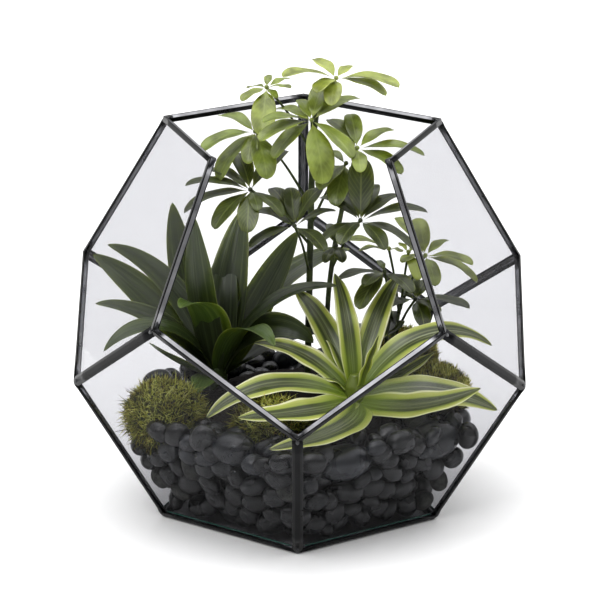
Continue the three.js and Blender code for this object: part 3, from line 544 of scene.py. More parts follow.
TURNS = STEP * np.arange(5)
FACES = [face_of("bottom", [corner("base", -a) for a in TURNS])]
FACES += [face_of(f"lower_{k + 1}", [
    corner("base", a), corner("base", a + STEP), corner("lower", a + STEP),
    corner("upper", a + STEP / 2), corner("lower", a)]) for k, a in enumerate(TURNS)]
FACES += [face_of("front" if k == 4 else f"upper_{k + 1}", [
    corner("lower", a + STEP), corner("upper", a + 1.5 * STEP),
    corner("top", a + 1.5 * STEP), corner("top", a + STEP / 2),
    corner("upper", a + STEP / 2)]) for k, a in enumerate(TURNS)]
FACES += [face_of("mouth", [corner("top", a + STEP / 2) for a in TURNS])]
WALLS = [face for face in FACES if face["name"] == "bottom" or face["name"][:5] == "lower"]


def edges():
    """Every bar's name and its two corners, as in the frame."""
    for k, a in enumerate(TURNS):
        half = a + STEP / 2
        yield f"base_bar_{k + 1}", corner("base", a), corner("base", a + STEP)
        yield f"lower_bar_{k + 1}", corner("base", a), corner("lower", a)
        yield f"girdle_bar_{2 * k + 1}", corner("lower", a), corner("upper", half)
        yield f"girdle_bar_{2 * k + 2}", corner("upper", half), corner("lower", a + STEP)
        yield f"upper_bar_{k + 1}", corner("upper", half), corner("top", half)
        yield f"rim_bar_{k + 1}", corner("top", half), corner("top", half + STEP)


def faces_at(*points):
    """The faces that have all these corners."""
    def has(face, point):
        return (np.linalg.norm(face["corners"] - point, axis=1) < 0.01).any()
    return [face for face in FACES if all(has(face, point) for point in points)]


# ---- came and solder


def came_section(half_bend, sides):
    """A bar's outline across it, a row for each corner: u to the side, v outwards, and how
    bare the lead is before and after it: bare in the slots, a little on the inner leaves,
    where the paler grey is also a painted reflection, and in a band on a channel's back,
    which is also a painted highlight line. Two panes give an H whose leaves are bent by the
    panes' angle, one pane gives a channel. Distances t from the edge's line and h from the
    glass turn by half the bend: u = t cos + h sin, v = h cos - t sin."""
    inside = -(GLASS + GAP)
    under = inside - CAME_INNER_LEAF
    channel = len(sides) == 1
    # worn: how bare the inner leaves are; their paler grey is also a painted reflection
    reach, inner, worn = (CAME_REACH, CAME_INNER_REACH, INNER_BARE_AND_REFLECTION)
    if channel:
        reach, inner, worn = (CHANNEL_REACH, CHANNEL_REACH, 0)
    rows = [(CHANNEL_BACK if channel else CAME_FLAT, OUTER_LIFT, 0, 0),
            (reach, OUTER_LIFT, 0, 0), (reach, GAP, 0, 1), (CAME_SLOT, GAP, 1, 1),
            (CAME_SLOT, inside, 1, 1), (inner, inside, 1, worn), (inner, under, worn, worn)]
    if channel:
        # a channel's back: bare lead, in a band that is also a painted highlight line
        rows += [(CHANNEL_BACK, under + way * (OUTER_LIFT - under), bare, bare)
                 for way, bare in CHANNEL_BARE_AND_HIGHLIGHT]
    t, h, before, after = np.array(rows, float).T
    u = t * np.cos(half_bend) + h * np.sin(half_bend)
    v = h * np.cos(half_bend) - t * np.sin(half_bend)
    if channel:
        return np.stack([sides[0] * u, v, before, after], 1)
    right = np.stack([u, v, before, after], 1)
    middle = [(0, under / np.cos(half_bend), worn, worn)]
    left = np.stack([-u, v, after, before], 1)[::-1]
    return np.concatenate([right, middle, left])


def rounded(outline, radius, points=4):
    """The outline with each corner turned into a curve of four points: from one before
    the corner to one after it, bent by the corner as a quadratic curve is."""
    t = np.linspace(0, 1, points)[None, :, None]
    ends = []
    for step in (1, -1):
        way = np.roll(outline, step, 0) - outline
        length = np.linalg.norm(way, axis=1)[:, None]
        reach = np.minimum(radius, 0.45 * length)  # under half, so two curves never meet
        ends.append((outline + reach * way / length)[:, None])
    curve = (1 - t) ** 2 * ends[0] + 2 * t * (1 - t) * outline[:, None] + t ** 2 * ends[1]
    return curve.reshape(-1, 2)


def hand_made(ring, size, seed, out):
    """The points, pressed in here and there by noise of that size, and flat underneath."""
    ring = ring + (waves(ring, size, seed)[..., None] - 1) * HAND_DEPTH * out
    ring[..., 2] = np.maximum(ring[..., 2], 0)
    return ring


def came_bar(a, b, stations=9):
    """A bar between two corners. Each line of its outline runs from mitre to mitre: the
    plane through the body's centre, the corner and the centre of the face on its side."""
    shared, other = sorted(faces_at(a, b), key=lambda face: face["open"])
    along, out = unit(b - a), unit(shared["normal"] + other["normal"])
    across = np.cross(out, along)
    half_bend = np.arccos(shared["normal"] @ other["normal"]) / 2
    side = np.sign((shared["centre"] - a) @ across)
    section = came_section(half_bend, [side] if other["open"] else [1, -1])
    outline = rounded(section[:, :2], CAME_ROUND)
    bare = np.repeat(section[:, 2:], 2)
    lines = a + outline[:, :1] * across + outline[:, 1:] * out
    ends = []
    for tip in (a, b):
        mitres = [np.cross(tip - CENTRE, face["centre"] - CENTRE) for face in (shared, other)]
        reaches = [(CENTRE - lines) @ mitre / (along @ mitre) for mitre in mitres]
        ends.append(np.where((outline[:, 0] * side >= 0) | other["open"], *reaches))
    s = np.linspace(0, 1, stations)[:, None]
    reach = ends[0] * (1 - s) + ends[1] * s
    ring = lines + reach[..., None] * along
    ring = hand_made(ring, HAND_WAVE, SEEDS["came"], out)
    made = closed_body(ring[0].mean(0), ring, ring[-1].mean(0))
    # tint: bare lead in the slots, with painted reflection on the inner leaves and a painted highlight
    # band on a channel's back
    made["tint"] = np.concatenate([[0], np.tile(bare, stations), [0]])
    return made


def solder_bead(tip, others, seed, rings=9, sides=30):
    """Solder over a corner: a cap with a lobe along each bar, whose height falls with the
    square of the way out to where the bars and the panes lie."""
    out = unit(tip - CENTRE)
    ways = unit(np.array(others) - tip)
    flat = unit(ways - (ways @ out)[:, None] * out)
    around = circle(sides)[:, None]
    way = np.cos(around) * flat[0] + np.sin(around) * np.cross(out, flat[0])
    lobe = np.clip((way @ flat.T).max(1), 0, 1) ** 6
    reach = BEAD_REACH[0] + BEAD_REACH[1] * lobe
    slope = BEAD_SLOPE[0] - BEAD_SLOPE[1] * lobe
    s = np.linspace(0, 1, rings + 1)[1:, None]
    height = BEAD_CROWN - (slope * reach + BEAD_SINK) * s ** 2
    ring = tip + (reach * s)[..., None] * way + height[..., None] * out
    ring = hand_made(ring, BEAD_WAVE, seed, out)
    return closed_body(tip + BEAD_CROWN * out, ring, tip - BEAD_ROOT * out)


def pane_edge(a, b, face):
    """The cut edge of a pane where it enters the came, as the eye meets it in the glass: a
    fine bar inside the pane, just past the came's outer leaf."""
    along = unit(b - a)
    inward = face["centre"] - a
    inward = unit(inward - (inward @ along) * along)
    offset = (CAME_REACH + EDGE_LINE) * inward - GLASS / 2 * face["normal"]
    return tube([a + offset + EDGE_START * along, b + offset - EDGE_START * along],
                (EDGE_LINE,) * 2, 8)


# ---- pebbles and soil


def rubbed(halves, turns, centres, detail, seed, tint):
    """Water-worn pebbles: balls stretched to their half-lengths, squared a little, with
    low swells that differ from one to the next, then turned and put in their places."""
    ball = sphere(*detail)
    rng = np.random.default_rng(seed)
    soft = np.sign(ball) * np.abs(ball) ** SQUARED[0]
    soft /= np.linalg.norm(soft, axis=1)[:, None] ** SQUARED[1]
    swell = np.stack([waves(ball + rng.normal(size=3) * 9, WORN_WAVE, seed + k % 11)
                      for k in range(len(centres))])
    points = soft * (WORN[0] + WORN[1] * swell[..., None]) * np.array(halves)[:, None]
    points = np.einsum("nij,npj->npi", turns, points) + np.array(centres)[:, None]
    return bodies(points, *detail, tint=tint)


def inside_walls(centres, turns, halves):
    """The centres, moved back along each wall's normal by as much as the pebble reaches
    past the wall's inner face."""
    normals = np.array([wall["normal"] for wall in WALLS])
    offsets = np.array([wall["centre"] @ wall["normal"] for wall in WALLS]) - PEBBLE_INSET
    reach = np.sqrt((np.einsum("nij,wi->nwj", turns, normals) ** 2
                     * halves[:, None] ** 2).sum(-1))
    return centres - np.clip(centres @ normals.T + reach - offsets, 0, None) @ normals


def settle(centres, turns, halves, held, keep_out, rounds=90):
    """Pushes pebbles apart as balls of a little less than their mean radius, out of the
    kept-out balls, down to the bed's top and back inside the walls, a little at a time.
    Only the walls move the held ones."""
    size = halves.prod(1) ** (1 / 3) * PACKED
    for _ in range(rounds):
        apart = centres[:, None] - centres[None]
        distance = np.linalg.norm(apart, axis=-1) + np.eye(len(centres)) * 1e3
        overlap = np.clip(size[:, None] + size[None] - distance, 0, None)
        push = (apart / distance[..., None] * overlap[..., None] * NUDGE).sum(1)
        for centre, radius in keep_out:
            away = centres - centre
            far = np.linalg.norm(away / radius, axis=1)
            push += away * np.clip(KEPT_OUT[0] - far, 0, None)[:, None] * KEPT_OUT[1]
        push[held] = 0
        centres = inside_walls(centres + push, turns, halves)
        high = np.clip(centres[:, 2] - BED_TOP, 0, None)
        centres[:, 2] -= np.where(held, 0, high * SINK)
    return inside_walls(centres, turns, halves)


def bed_pebbles(count, seed):
    """Loose pebbles in a band inside the glass, from the bottom to the top of the bed, the
    outer ones with their flat sides towards the wall. Gives their centres, turns and
    half-lengths."""
    rng = np.random.default_rng(seed)
    long = rng.uniform(*LOOSE_HALVES, count)
    halves = np.stack([long, long * rng.uniform(*LOOSE_WIDTH, count),
                       long * rng.uniform(*LOOSE_THICKNESS, count)], -1)
    height = BED_TOP * rng.uniform(0, 1, count) ** BED_FILL
    azimuth = rng.uniform(0, 2 * np.pi, count)
    depth = rng.uniform(0, BED_BAND, count)
    reach = BED_FOOT + BED_FLARE * height - depth
    centres = np.stack([reach * np.sin(azimuth), -reach * np.cos(azimuth), height], -1)
    tilt = np.where(depth < BED_BAND / 2, np.radians(WALL_TILT), 0)
    tilt = tilt + rng.normal(0, LIE_SPREAD[1], count)
    return centres, turned(azimuth, rng.normal(0, LIE_SPREAD[0], count), tilt), halves


def soil_mound(seed, sides=120, rings=44):
    """A mound turned about the axis, with crumbs that stand out by noise of two sizes."""
    profile = np.array(SOIL, float)
    way = np.linspace(0, len(profile) - 1, rings)
    radius, height = (np.interp(way, np.arange(len(profile)), profile[:, i])[:, None]
                      for i in (0, 1))
    around = circle(sides)
    ring = np.stack([radius * np.sin(around), -radius * np.cos(around),
                     height + 0 * around], -1)
    ring = ring + (swells(ring, SOIL_CRUMBS, seed) - SOIL_SINK)[..., None] * unit(ring)
    return closed_body((0, 0, SOIL[0][1]), ring, (0, 0, SOIL[-1][1]))


# ---- moss


def moss_cushion(centre, halves, seed):
    """The cushion's own lump: an ellipsoid that swells in soft tufts, painted dark as the shade between
    the shoots.
    """
    ball = sphere(*CUSHION_GRID)
    reach = LUMP + swells(ball, TUFTS, seed)[:, None]
    return bodies(np.array(centre) + ball * halves * reach, *CUSHION_GRID, tint=LUMP_SHADE)


def moss_shoots(centre, halves, count, habit, seed):
    """Shoots all over a cushion: each a three-sided spike that leaves the surface along
    its normal, or upwards, leans a random way and bends over as the square of the way
    along it. The uv map runs up each shoot, and the tint is low under the cushion."""
    length, girth, upright, lean, curl = habit
    rng = np.random.default_rng(seed)
    height = rng.uniform(LOWEST_SHOOT, 1, count)
    around = rng.uniform(0, 2 * np.pi, count)
    level = np.sqrt(1 - height ** 2)
    spot = np.stack([level * np.cos(around), level * np.sin(around), height], -1)
    roots = np.array(centre) + spot * halves * (ROOTED + swells(spot, TUFTS, seed))[:, None]
    way = unit(unit(spot / halves) + rng.normal(0, lean, (count, 3)) + (0, 0, upright))
    bend = rng.normal(0, curl, (count, 3))
    tall = length * rng.uniform(*SHOOT_TALL, (count, 1))
    side = unit(np.cross(way, rng.normal(size=(count, 3))))
    third = np.cross(way, side)
    points = [roots]
    for s in SHOOT_RINGS:
        spine = roots + (way * s + bend * s ** 2) * tall
        radius = girth * (1 - SHOOT_TAPER * s)
        points += [spine + radius * (np.cos(turn) * side + np.sin(turn) * third)
                   for turn in circle(3)]
    points.append(roots + (way + bend) * tall)
    uv = [(0.5, s) for s in (0.0, *np.repeat(SHOOT_RINGS, 3), 1.0)]
    mean, drift, spread = SHOOT_TINT
    tint = mean + drift * waves(spot, DRIFT, seed + 2) + rng.normal(0, spread, count)
    tint -= SHADED[0] * np.clip(SHADED[1] - height, 0, 1)
    return bodies(np.stack(points, 1), len(SHOOT_RINGS), 3, uv, np.clip(tint, 0, 1))


# ---- leaves


def leaf_frames(leaf, s):
    """A blade's directions at s of its length: along it, to its side and out of its face.
    Its lift goes from the root's to the tip's as a power of s, and its azimuth sweeps."""
    azimuth, root_lift, tip_lift, _, _, roll, sweep = leaf
    turn = np.radians(azimuth + sweep * s)
    lift = np.radians(root_lift + (tip_lift - root_lift) * s ** BEND)
    along = heading(turn, lift)
    level = np.stack([np.cos(turn), np.sin(turn), np.zeros_like(turn)], -1)
    face = np.cross(along, level)
    side = level * np.cos(np.radians(roll)) + face * np.sin(np.radians(roll))
    return along, side, np.cross(along, side)


def leaf_line(leaf, root, s):
    """The blade's middle at s: its directions summed over short steps from the root."""
    middles = (np.arange(ARC_STEPS) + 0.5) / ARC_STEPS
    steps = leaf_frames(leaf, middles)[0] * leaf[3] / ARC_STEPS
    line = np.concatenate([[root], root + np.cumsum(steps, 0)])
    marks = np.linspace(0, 1, ARC_STEPS + 1)
    return np.stack([np.interp(s, marks, line[:, i]) for i in range(3)], -1)


def strap_outline(s):
    """Half-width along a strap leaf: powers of the way from its root and its tip."""
    return (s + STRAP_FOOT) ** STRAP_POWERS[0] * (1 - s) ** STRAP_POWERS[1] / WIDEST


def leaflet_outline(s):
    """Half-width along a leaflet: a bare stalk, then a blade rounded at its tip."""
    way = np.clip((s - LEAFLET_STALK) / (1 - LEAFLET_STALK), 0, 1)
    grown = way ** LEAFLET_POWERS[0] * (1 - way) ** LEAFLET_POWERS[1] / WIDEST
    return np.maximum(LEAFLET_FOOT * (1 - way ** 8), grown)


def blade(leaf, root, form, seed, youth_and_painted_light=None):
    """A leaf blade: at each station a thin lens-shaped ring, its edges raised by the
    fold as a power of the way across, with a groove along the midrib, pleats beside it
    and edges that ripple along the leaf. Its tint is random, or given: an umbrella leaf's
    youth, a dark dracaena leaf's painted light."""
    stations, half_sides = form["grid"]
    width = leaf[4]
    rng = np.random.default_rng(seed)
    s = 1 - np.linspace(1, 0, stations + 2)[1:-1] ** CROWDING
    around = circle(2 * half_sides)
    u, over = np.cos(around), np.sin(around)
    _, side, face = leaf_frames(leaf, s)
    half = (width / 2 * form["outline"](s))[:, None]
    rise = half * np.tan(np.radians(form["fold"])) * np.abs(u) ** form["cup"]
    thick = form["thick"] / 2 * np.clip(half / (width * THINNING[0]), THINNING[1], 1) * over
    groove = form["groove"] * np.exp(-(u / MIDRIB) ** 2)
    pleats = form["pleat"] * np.cos(2 * np.pi * form["pleats"] * u) * (1 - u ** 4)
    phase = rng.uniform(0, ROUND) + np.where(u > 0, OUT_OF_STEP, 0)
    ripple = form["ripple"] * (np.sin(2 * np.pi * form["waves"] * s[:, None] + phase) - 1)
    ripple = ripple * u ** 2 * (4 * s * (1 - s))[:, None] ** 0.5
    lift = rise + thick + (pleats - groove) * np.clip(half / FULL_PLEATS, 0, 1) + ripple
    ring = (leaf_line(leaf, root, s)[:, None] + (half * u)[..., None] * side[:, None]
            + lift[..., None] * face[:, None])
    start, end = leaf_line(leaf, root, np.array([0.0, 1.0]))
    across, up = np.broadcast_to(u / 2 + 0.5, ring.shape[:2]), np.repeat(s, len(u))
    uv = np.concatenate([[(0.5, 0)], np.stack([across.ravel(), up], -1), [(0.5, 1)]])
    own = rng.uniform(0, 1)
    tint = own if youth_and_painted_light is None else np.clip(youth_and_painted_light + YOUTH_SPREAD * (own - 0.5), 0, 1)
    return closed_body(start, ring, end, uv=uv, tint=tint)


STRAP_GREEN = {
    "grid": (30, 18), "outline": strap_outline, "fold": 14, "cup": 1.5, "thick": 0.7,
    "groove": 0.4, "pleat": 0.26, "pleats": 3.5, "ripple": 0.5, "waves": 2.2}
STRAP_STRIPED = {
    "grid": (34, 14), "outline": strap_outline, "fold": 14, "cup": 1.4, "thick": 0.65,
    "groove": 0.4, "pleat": 0.12, "pleats": 2.5, "ripple": 0.9, "waves": 3.1}
LEAFLET = {
    "grid": (18, 9), "outline": leaflet_outline, "fold": 15, "cup": 1.1, "thick": 0.6,
    "groove": 0.3, "pleat": 0.0, "pleats": 1, "ripple": 0.6, "waves": 1.6}


def strap_root(crown, leaf):
    """Where a strap leaf springs from its crown: an upright one springs higher."""
    root = np.array(crown, float) + STRAP_ROOT * heading(np.radians(leaf[0]), 0.0)
    root[2] += STRAP_RISE * np.sin(np.radians(leaf[1])) - STRAP_DROP
    return root


def green_front_light(leaf):
    """How much painted light a dark dracaena's leaf gets: the short ones that face the front are
    painted lighter, as if lit.
    """
    return max(np.cos(np.radians(leaf[0])), 0) ** 2 * (leaf[3] < UNLIT_LENGTH)


def tube(points, radii, sides, seed=None, steps=28, uv=0.0):
    """A round tube along a smooth line through points: between two of them a cubic that
    leaves each one along the line between its neighbours. Its radius goes evenly from one
    given value to the next."""
    points = np.array(points, float)
    ends = np.concatenate([[2 * points[0] - points[1]], points, [2 * points[-1] - points[-2]]])
    place = np.linspace(0, len(points) - 1, steps)
    cell = np.clip(place.astype(int), 0, len(points) - 2)
    t = (place - cell)[:, None]
    p0, p1, p2, p3 = (ends[cell + i] for i in range(4))
    line = 0.5 * (2 * p1 + (p2 - p0) * t + (2 * p0 - 5 * p1 + 4 * p2 - p3) * t ** 2
                  + (3 * p1 - p0 - 3 * p2 + p3) * t ** 3)
    along = unit(np.gradient(line, axis=0))
    side = unit(np.cross(along, ASIDE))
    radius = np.interp(place, np.linspace(0, len(points) - 1, len(radii)), radii)
    if seed is not None:
        radius = radius * (1 + KNOBS[0] * waves(line, KNOBS[1], seed))
    around = circle(sides)[:, None]
    ring = line[:, None] + radius[:, None, None] * (
        np.cos(around) * side[:, None] + np.sin(around) * np.cross(along, side)[:, None])
    return closed_body(line[0], ring, line[-1], uv=uv)


def umbrella_leaf(leaf, seed):
    """A leaf stalk that leaves the stem steeply, a knuckle and a fan of leaflets."""
    hub, start, droop, youth_and_painted_light, leaflets = leaf
    hub, start = np.array(hub, float), np.array(start, float)
    middle = (start + hub) / 2
    middle[2] = start[2] + (hub[2] - start[2]) * STALK_BOW
    stalk = tube((start, middle, hub), STALK_RADII, 8, steps=14)
    knuckle = bodies(sphere(*KNUCKLE_GRID) * KNUCKLE + hub, *KNUCKLE_GRID, PLAIN_SKIN, youth_and_painted_light)
    blades = []
    for k, (azimuth, lift, length) in enumerate(leaflets):
        form = (azimuth, lift + droop / 2, lift - droop / 2, length,
                length * LEAFLET_WIDTH, 0, 0)
        root = hub + LEAFLET_ROOT * heading(np.radians(azimuth), np.radians(lift))
        blades.append(blade(form, root, LEAFLET, seed + k, youth_and_painted_light))
    return stalk, [knuckle, *blades]


# ---- materials


def came_material(settings):
    """Lead came with a black patina, rubbed on by hand: near black with a satin sheen on
    its outer leaves, greyer on the inner ones, as bare lead and painted reflection, bare
    grey lead in its slots and, wiped thin, on the backs of the channels round the mouth,
    in a band that is also a painted highlight."""
    made, node = new_material("black_patina_lead_came")
    place = node("TexCoord").outputs["Object"]
    bare = node("Attribute", attribute_name="tint").outputs["Fac"]
    cloud = node("TexNoise", {"Vector": place, "Scale": cells(PATINA_CLOUD), "Detail": 5.0})
    patina = node("ValToRGB", {"Fac": cloud}, ((0.3, "#09090a"), (0.7, "#17181a")))
    # the pale lead: bare in the slots, and also painted reflection on the inner leaves and a painted
    # highlight band on the channel backs
    lead = node("ValToRGB", {"Fac": cloud}, ((0.3, "#79797d"), (0.7, "#aaaaad")))
    colour = node("Mix", {SHARE: bare, UNDER: patina, OVER: lead}, data_type="RGBA")
    rough = node("MapRange", {"Value": cloud, "To Min": 0.22, "To Max": 0.36})
    grain = node("TexNoise", {"Vector": place, "Scale": cells(LEAD_GRAIN), "Detail": 2.0})
    bump = node("Bump", {"Height": grain, "Strength": 0.12, "Distance": 0.0002})
    return show(made, node("BsdfPrincipled", {
        "Base Color": colour, "Metallic": settings.metal, "Roughness": rough, "Normal": bump,
        "Coat Weight": 0.2, "Coat Roughness": 0.16}))


def mottled(name, size, detail, stops, relief=None, **surface):
    """A finish whose colour, and relief if it has one, follow one noise with cells of that
    size. A relief is a strength and a depth in metres."""
    made, node = new_material(name)
    place = node("TexCoord").outputs["Object"]
    cloud = node("TexNoise", {"Vector": place, "Scale": cells(size), "Detail": detail})
    inputs = {key.replace("_", " "): value for key, value in surface.items()}
    if relief:
        inputs["Normal"] = node("Bump", {
            "Height": cloud, "Strength": relief[0], "Distance": relief[1]})
    colour = node("ValToRGB", {"Fac": cloud}, stops)
    return show(made, node("BsdfPrincipled", {"Base Color": colour, **inputs}))


def solder_material():
    """Tin solder under the patina: brighter than the came and smooth where it flowed."""
    return mottled("patina_tin_solder", SOLDER_CLOUD, 3.0, ((0.35, "#17181a"), (0.7, "#4a4b4e")),
                   Metallic=0.9, Roughness=0.28, Coat_Weight=0.4, Coat_Roughness=0.15)


def glass_material(settings):
    """Float glass, drawn thin: clear with the faintest cool grey, and mirror-smooth. A
    face's reflectance goes from its value square on to that edge on as the fifth power of
    the slant."""
    made, node = new_material("clear_float_glass")
    clear = node("BsdfTransparent", {"Color": settings.tint[:]})
    mirror = node("BsdfPrincipled", {
        "Base Color": linear("#ffffff"), "Metallic": 1.0, "Roughness": 0.015})
    slant = node("LayerWeight", {"Blend": 0.5}).outputs["Facing"]
    steep = node("Math", {0: slant, 1: 5.0}, operation="POWER")
    share = node("MapRange", {
        "Value": steep, "To Min": settings.shine, "To Max": settings.glare})
    return show(made, node("MixShader", {"Fac": share, 1: clear, 2: mirror}))


def cut_edge_material():
    """The cut edge of float glass: its iron shows as a deep green."""
    made, node = new_material("cut_float_glass_edge")
    return show(made, node("BsdfPrincipled", {
        "Base Color": linear("#1f5f52"), "Roughness": 0.2}))


def pebble_material(name, speckled=False):
    """Basalt river pebble, tumbled by water: charcoal that varies from stone to stone and,
    as painted shade, darker the lower a pebble lies in the bed, with a fine mottle and a
    waxy sheen, or on the speckled ones pale, dull crystals."""
    made, node = new_material(name)
    place = node("TexCoord").outputs["Object"]
    tint = node("Attribute", attribute_name="tint").outputs["Fac"]
    base = node("ValToRGB", {"Fac": tint}, (
        (0.0, "#080809"), (0.3, "#101113"), (0.6, "#1c1e21"), (0.85, "#313439"),
        (1.0, "#37342c")))
    mottle = node("TexNoise", {"Vector": place, "Scale": cells(MOTTLE), "Detail": 2.0})
    shade = node("ValToRGB", {"Fac": mottle}, ((0.3, "#bcbcbc"), (0.7, "#ffffff")))
    colour = node("Mix", {SHARE: 1.0, UNDER: base, OVER: shade},
                  data_type="RGBA", blend_type="MULTIPLY")
    if speckled:
        grain = node("TexNoise", {"Vector": place, "Scale": cells(CRYSTALS), "Detail": 6.0,
                                  "Roughness": 0.7, "Distortion": 0.6})
        spots = node("ValToRGB", {"Fac": grain}, ((0.4, "#000000"), (0.66, "#8a8a8a")))
        colour = node("Mix", {SHARE: spots, UNDER: colour, OVER: linear("#94958a")},
                      data_type="RGBA")
    pits = node("TexNoise", {"Vector": place, "Scale": cells(PITS), "Detail": 1.0})
    smooth, dull = (0.5, 0.65) if speckled else (0.2, 0.4)
    rough = node("MapRange", {"Value": pits, "From Min": 0.3, "From Max": 0.7,
                              "To Min": smooth, "To Max": dull})
    bump = node("Bump", {"Height": pits, "Strength": 0.2, "Distance": 0.0012})
    return show(made, node("BsdfPrincipled", {
        "Base Color": colour, "Roughness": rough, "Normal": bump,
        "Coat Weight": 0.0 if speckled else 0.35, "Coat Roughness": 0.14}))


def soil_material():
    """Damp potting compost: near black, fibrous, with no shine."""
    return mottled("damp_potting_compost", CRUMB, 8.0, (
        (0.3, "#0d0a08"), (0.62, "#241a13"), (0.8, "#3d2e20")), (0.9, 0.002), Roughness=0.95)


def moss_material(settings):
    """Living sheet moss: each shoot dark at its foot and olive to yellow-green at its
    tip, by its own tint, and quite matt."""
    made, node = new_material("living_sheet_moss")
    tint = node("Attribute", attribute_name="tint").outputs["Fac"]
    up = node("SeparateXYZ", {"Vector": node("UVMap", uv_map="leaf")}).outputs["Y"]
    place = node("TexCoord").outputs["Object"]
    patch = node("TexNoise", {"Vector": place, "Scale": cells(MOSS_PATCH), "Detail": 3.0})
    rise = node("MapRange", {"Value": up, "To Min": 0.25, "To Max": 1.15})
    tone = node("Math", {0: tint, 1: patch}, operation="MULTIPLY")
    lit = node("Math", {0: tone, 1: rise}, operation="MULTIPLY")
    colour = node("ValToRGB", {"Fac": lit}, (
        (0.02, "#1d200a"), (0.1, "#5c5e1c"), (0.2, "#97993e"), (0.34, "#c8ca60"),
        (0.5, "#eaea98")))
    return show(made, node("BsdfPrincipled", {
        "Base Color": colour, "Roughness": 0.75, "Subsurface Weight": settings.glow,
        "Subsurface Scale": 0.002}))


def leaf_coordinates(node):
    """Where on a leaf the eye is: its UV across and up the leaf, the way from the midrib
    to the edge, 0 to 1, and the leaf's own tint."""
    uv = node("SeparateXYZ", {"Vector": node("UVMap", uv_map="leaf")}).outputs
    centred = node("Math", {0: uv["X"], 1: 2.0, 2: -1.0}, operation="MULTIPLY_ADD")
    across = node("Math", {0: centred}, operation="ABSOLUTE")
    tint = node("Attribute", attribute_name="tint").outputs["Fac"]
    return uv["X"], uv["Y"], across, tint


def leaf_streaks(node, x, up, tint):
    """Fine streaks that run along a strap leaf and differ from leaf to leaf."""
    place = node("CombineXYZ", {"X": x, "Y": up, "Z": tint})
    stretched = node("Mapping", {"Vector": place, "Scale": STREAKS})
    return node("TexNoise", {
        "Vector": stretched, "Scale": 1.0, "Detail": 4.0, "Roughness": 0.6})


def leaf_shader(made, node, colour, relief, settings):
    """A leathery leaf: waxy skin over pulp that lets some light in, ribbed by its relief."""
    bump = node("Bump", {"Height": relief, "Strength": 0.3, "Distance": 0.0007})
    return show(made, node("BsdfPrincipled", {
        "Base Color": colour, "Roughness": settings.shine, "Specular IOR Level": 0.55,
        "Subsurface Weight": settings.glow, "Subsurface Scale": 0.003,
        "Subsurface Radius": (0.95, 1.0, 0.3), "Coat Weight": 0.4, "Coat Roughness": 0.22,
        "Normal": bump}))


def green_leaf_material(settings):
    """Leaf of a compact dark dracaena: deep green, painted brighter as painted light on the
    short leaves that face the front, with faint paler streaks and a thin pale edge."""
    made, node = new_material("dark_dracaena_leaf")
    x, up, across, tint = leaf_coordinates(node)
    streaks = leaf_streaks(node, x, up, tint)
    unlit_green = node("ValToRGB", {"Fac": streaks}, (
        (0.3, "#232b15"), (0.5, "#343f23"), (0.72, "#596446")))
    # painted light: the same green, lighter, on the short leaves that face the front
    young = node("ValToRGB", {"Fac": streaks}, (
        (0.3, "#41581b"), (0.5, "#587030"), (0.72, "#7c914f")))
    base = node("Mix", {SHARE: tint, UNDER: unlit_green, OVER: young}, data_type="RGBA")
    edge = node("ValToRGB", {"Fac": across}, ((0.95, "#000000"), (0.99, "#c0c0c0")))
    colour = node("Mix", {SHARE: edge, UNDER: base, OVER: linear("#6a7846")},
                  data_type="RGBA")
    return leaf_shader(made, node, colour, streaks, settings)


def striped_leaf_material(settings):
    """Leaf of a yellow-edged dracaena: lime margins a third of the half-width, with a
    thin cream rim, dark green streaks inside them, grey-green along the middle, and a
    young lime foot."""
    made, node = new_material("yellow_edged_dracaena_leaf")
    x, up, across, tint = leaf_coordinates(node)
    streaks = leaf_streaks(node, x, up, tint)
    wander = node("MapRange", {
        "Value": streaks, "From Min": 0.3, "From Max": 0.7, "To Min": -0.09, "To Max": 0.09})
    shift = node("Math", {0: tint, 1: 0.16, 2: wander}, operation="MULTIPLY_ADD")
    place = node("Math", {0: across, 1: shift}, operation="ADD")
    bands = node("ValToRGB", {"Fac": place}, (
        (0.0, "#8f9674"), (0.08, "#5d6640"), (0.15, "#363d19"), (0.25, "#727b50"),
        (0.36, "#3b4419"), (0.53, "#3b4618"), (0.60, "#74822f"), (0.68, "#9ca64a"),
        (0.93, "#b7bd62"), (0.97, "#dcdfa0"), (1.0, "#e6e8b4")))
    young = node("MapRange", {
        "Value": up, "From Min": 0.05, "From Max": 0.45, "To Min": 0.7, "To Max": 0.0})
    colour = node("Mix", {SHARE: young, UNDER: bands, OVER: linear("#7f9632")},
                  data_type="RGBA")
    return leaf_shader(made, node, colour, streaks, settings)


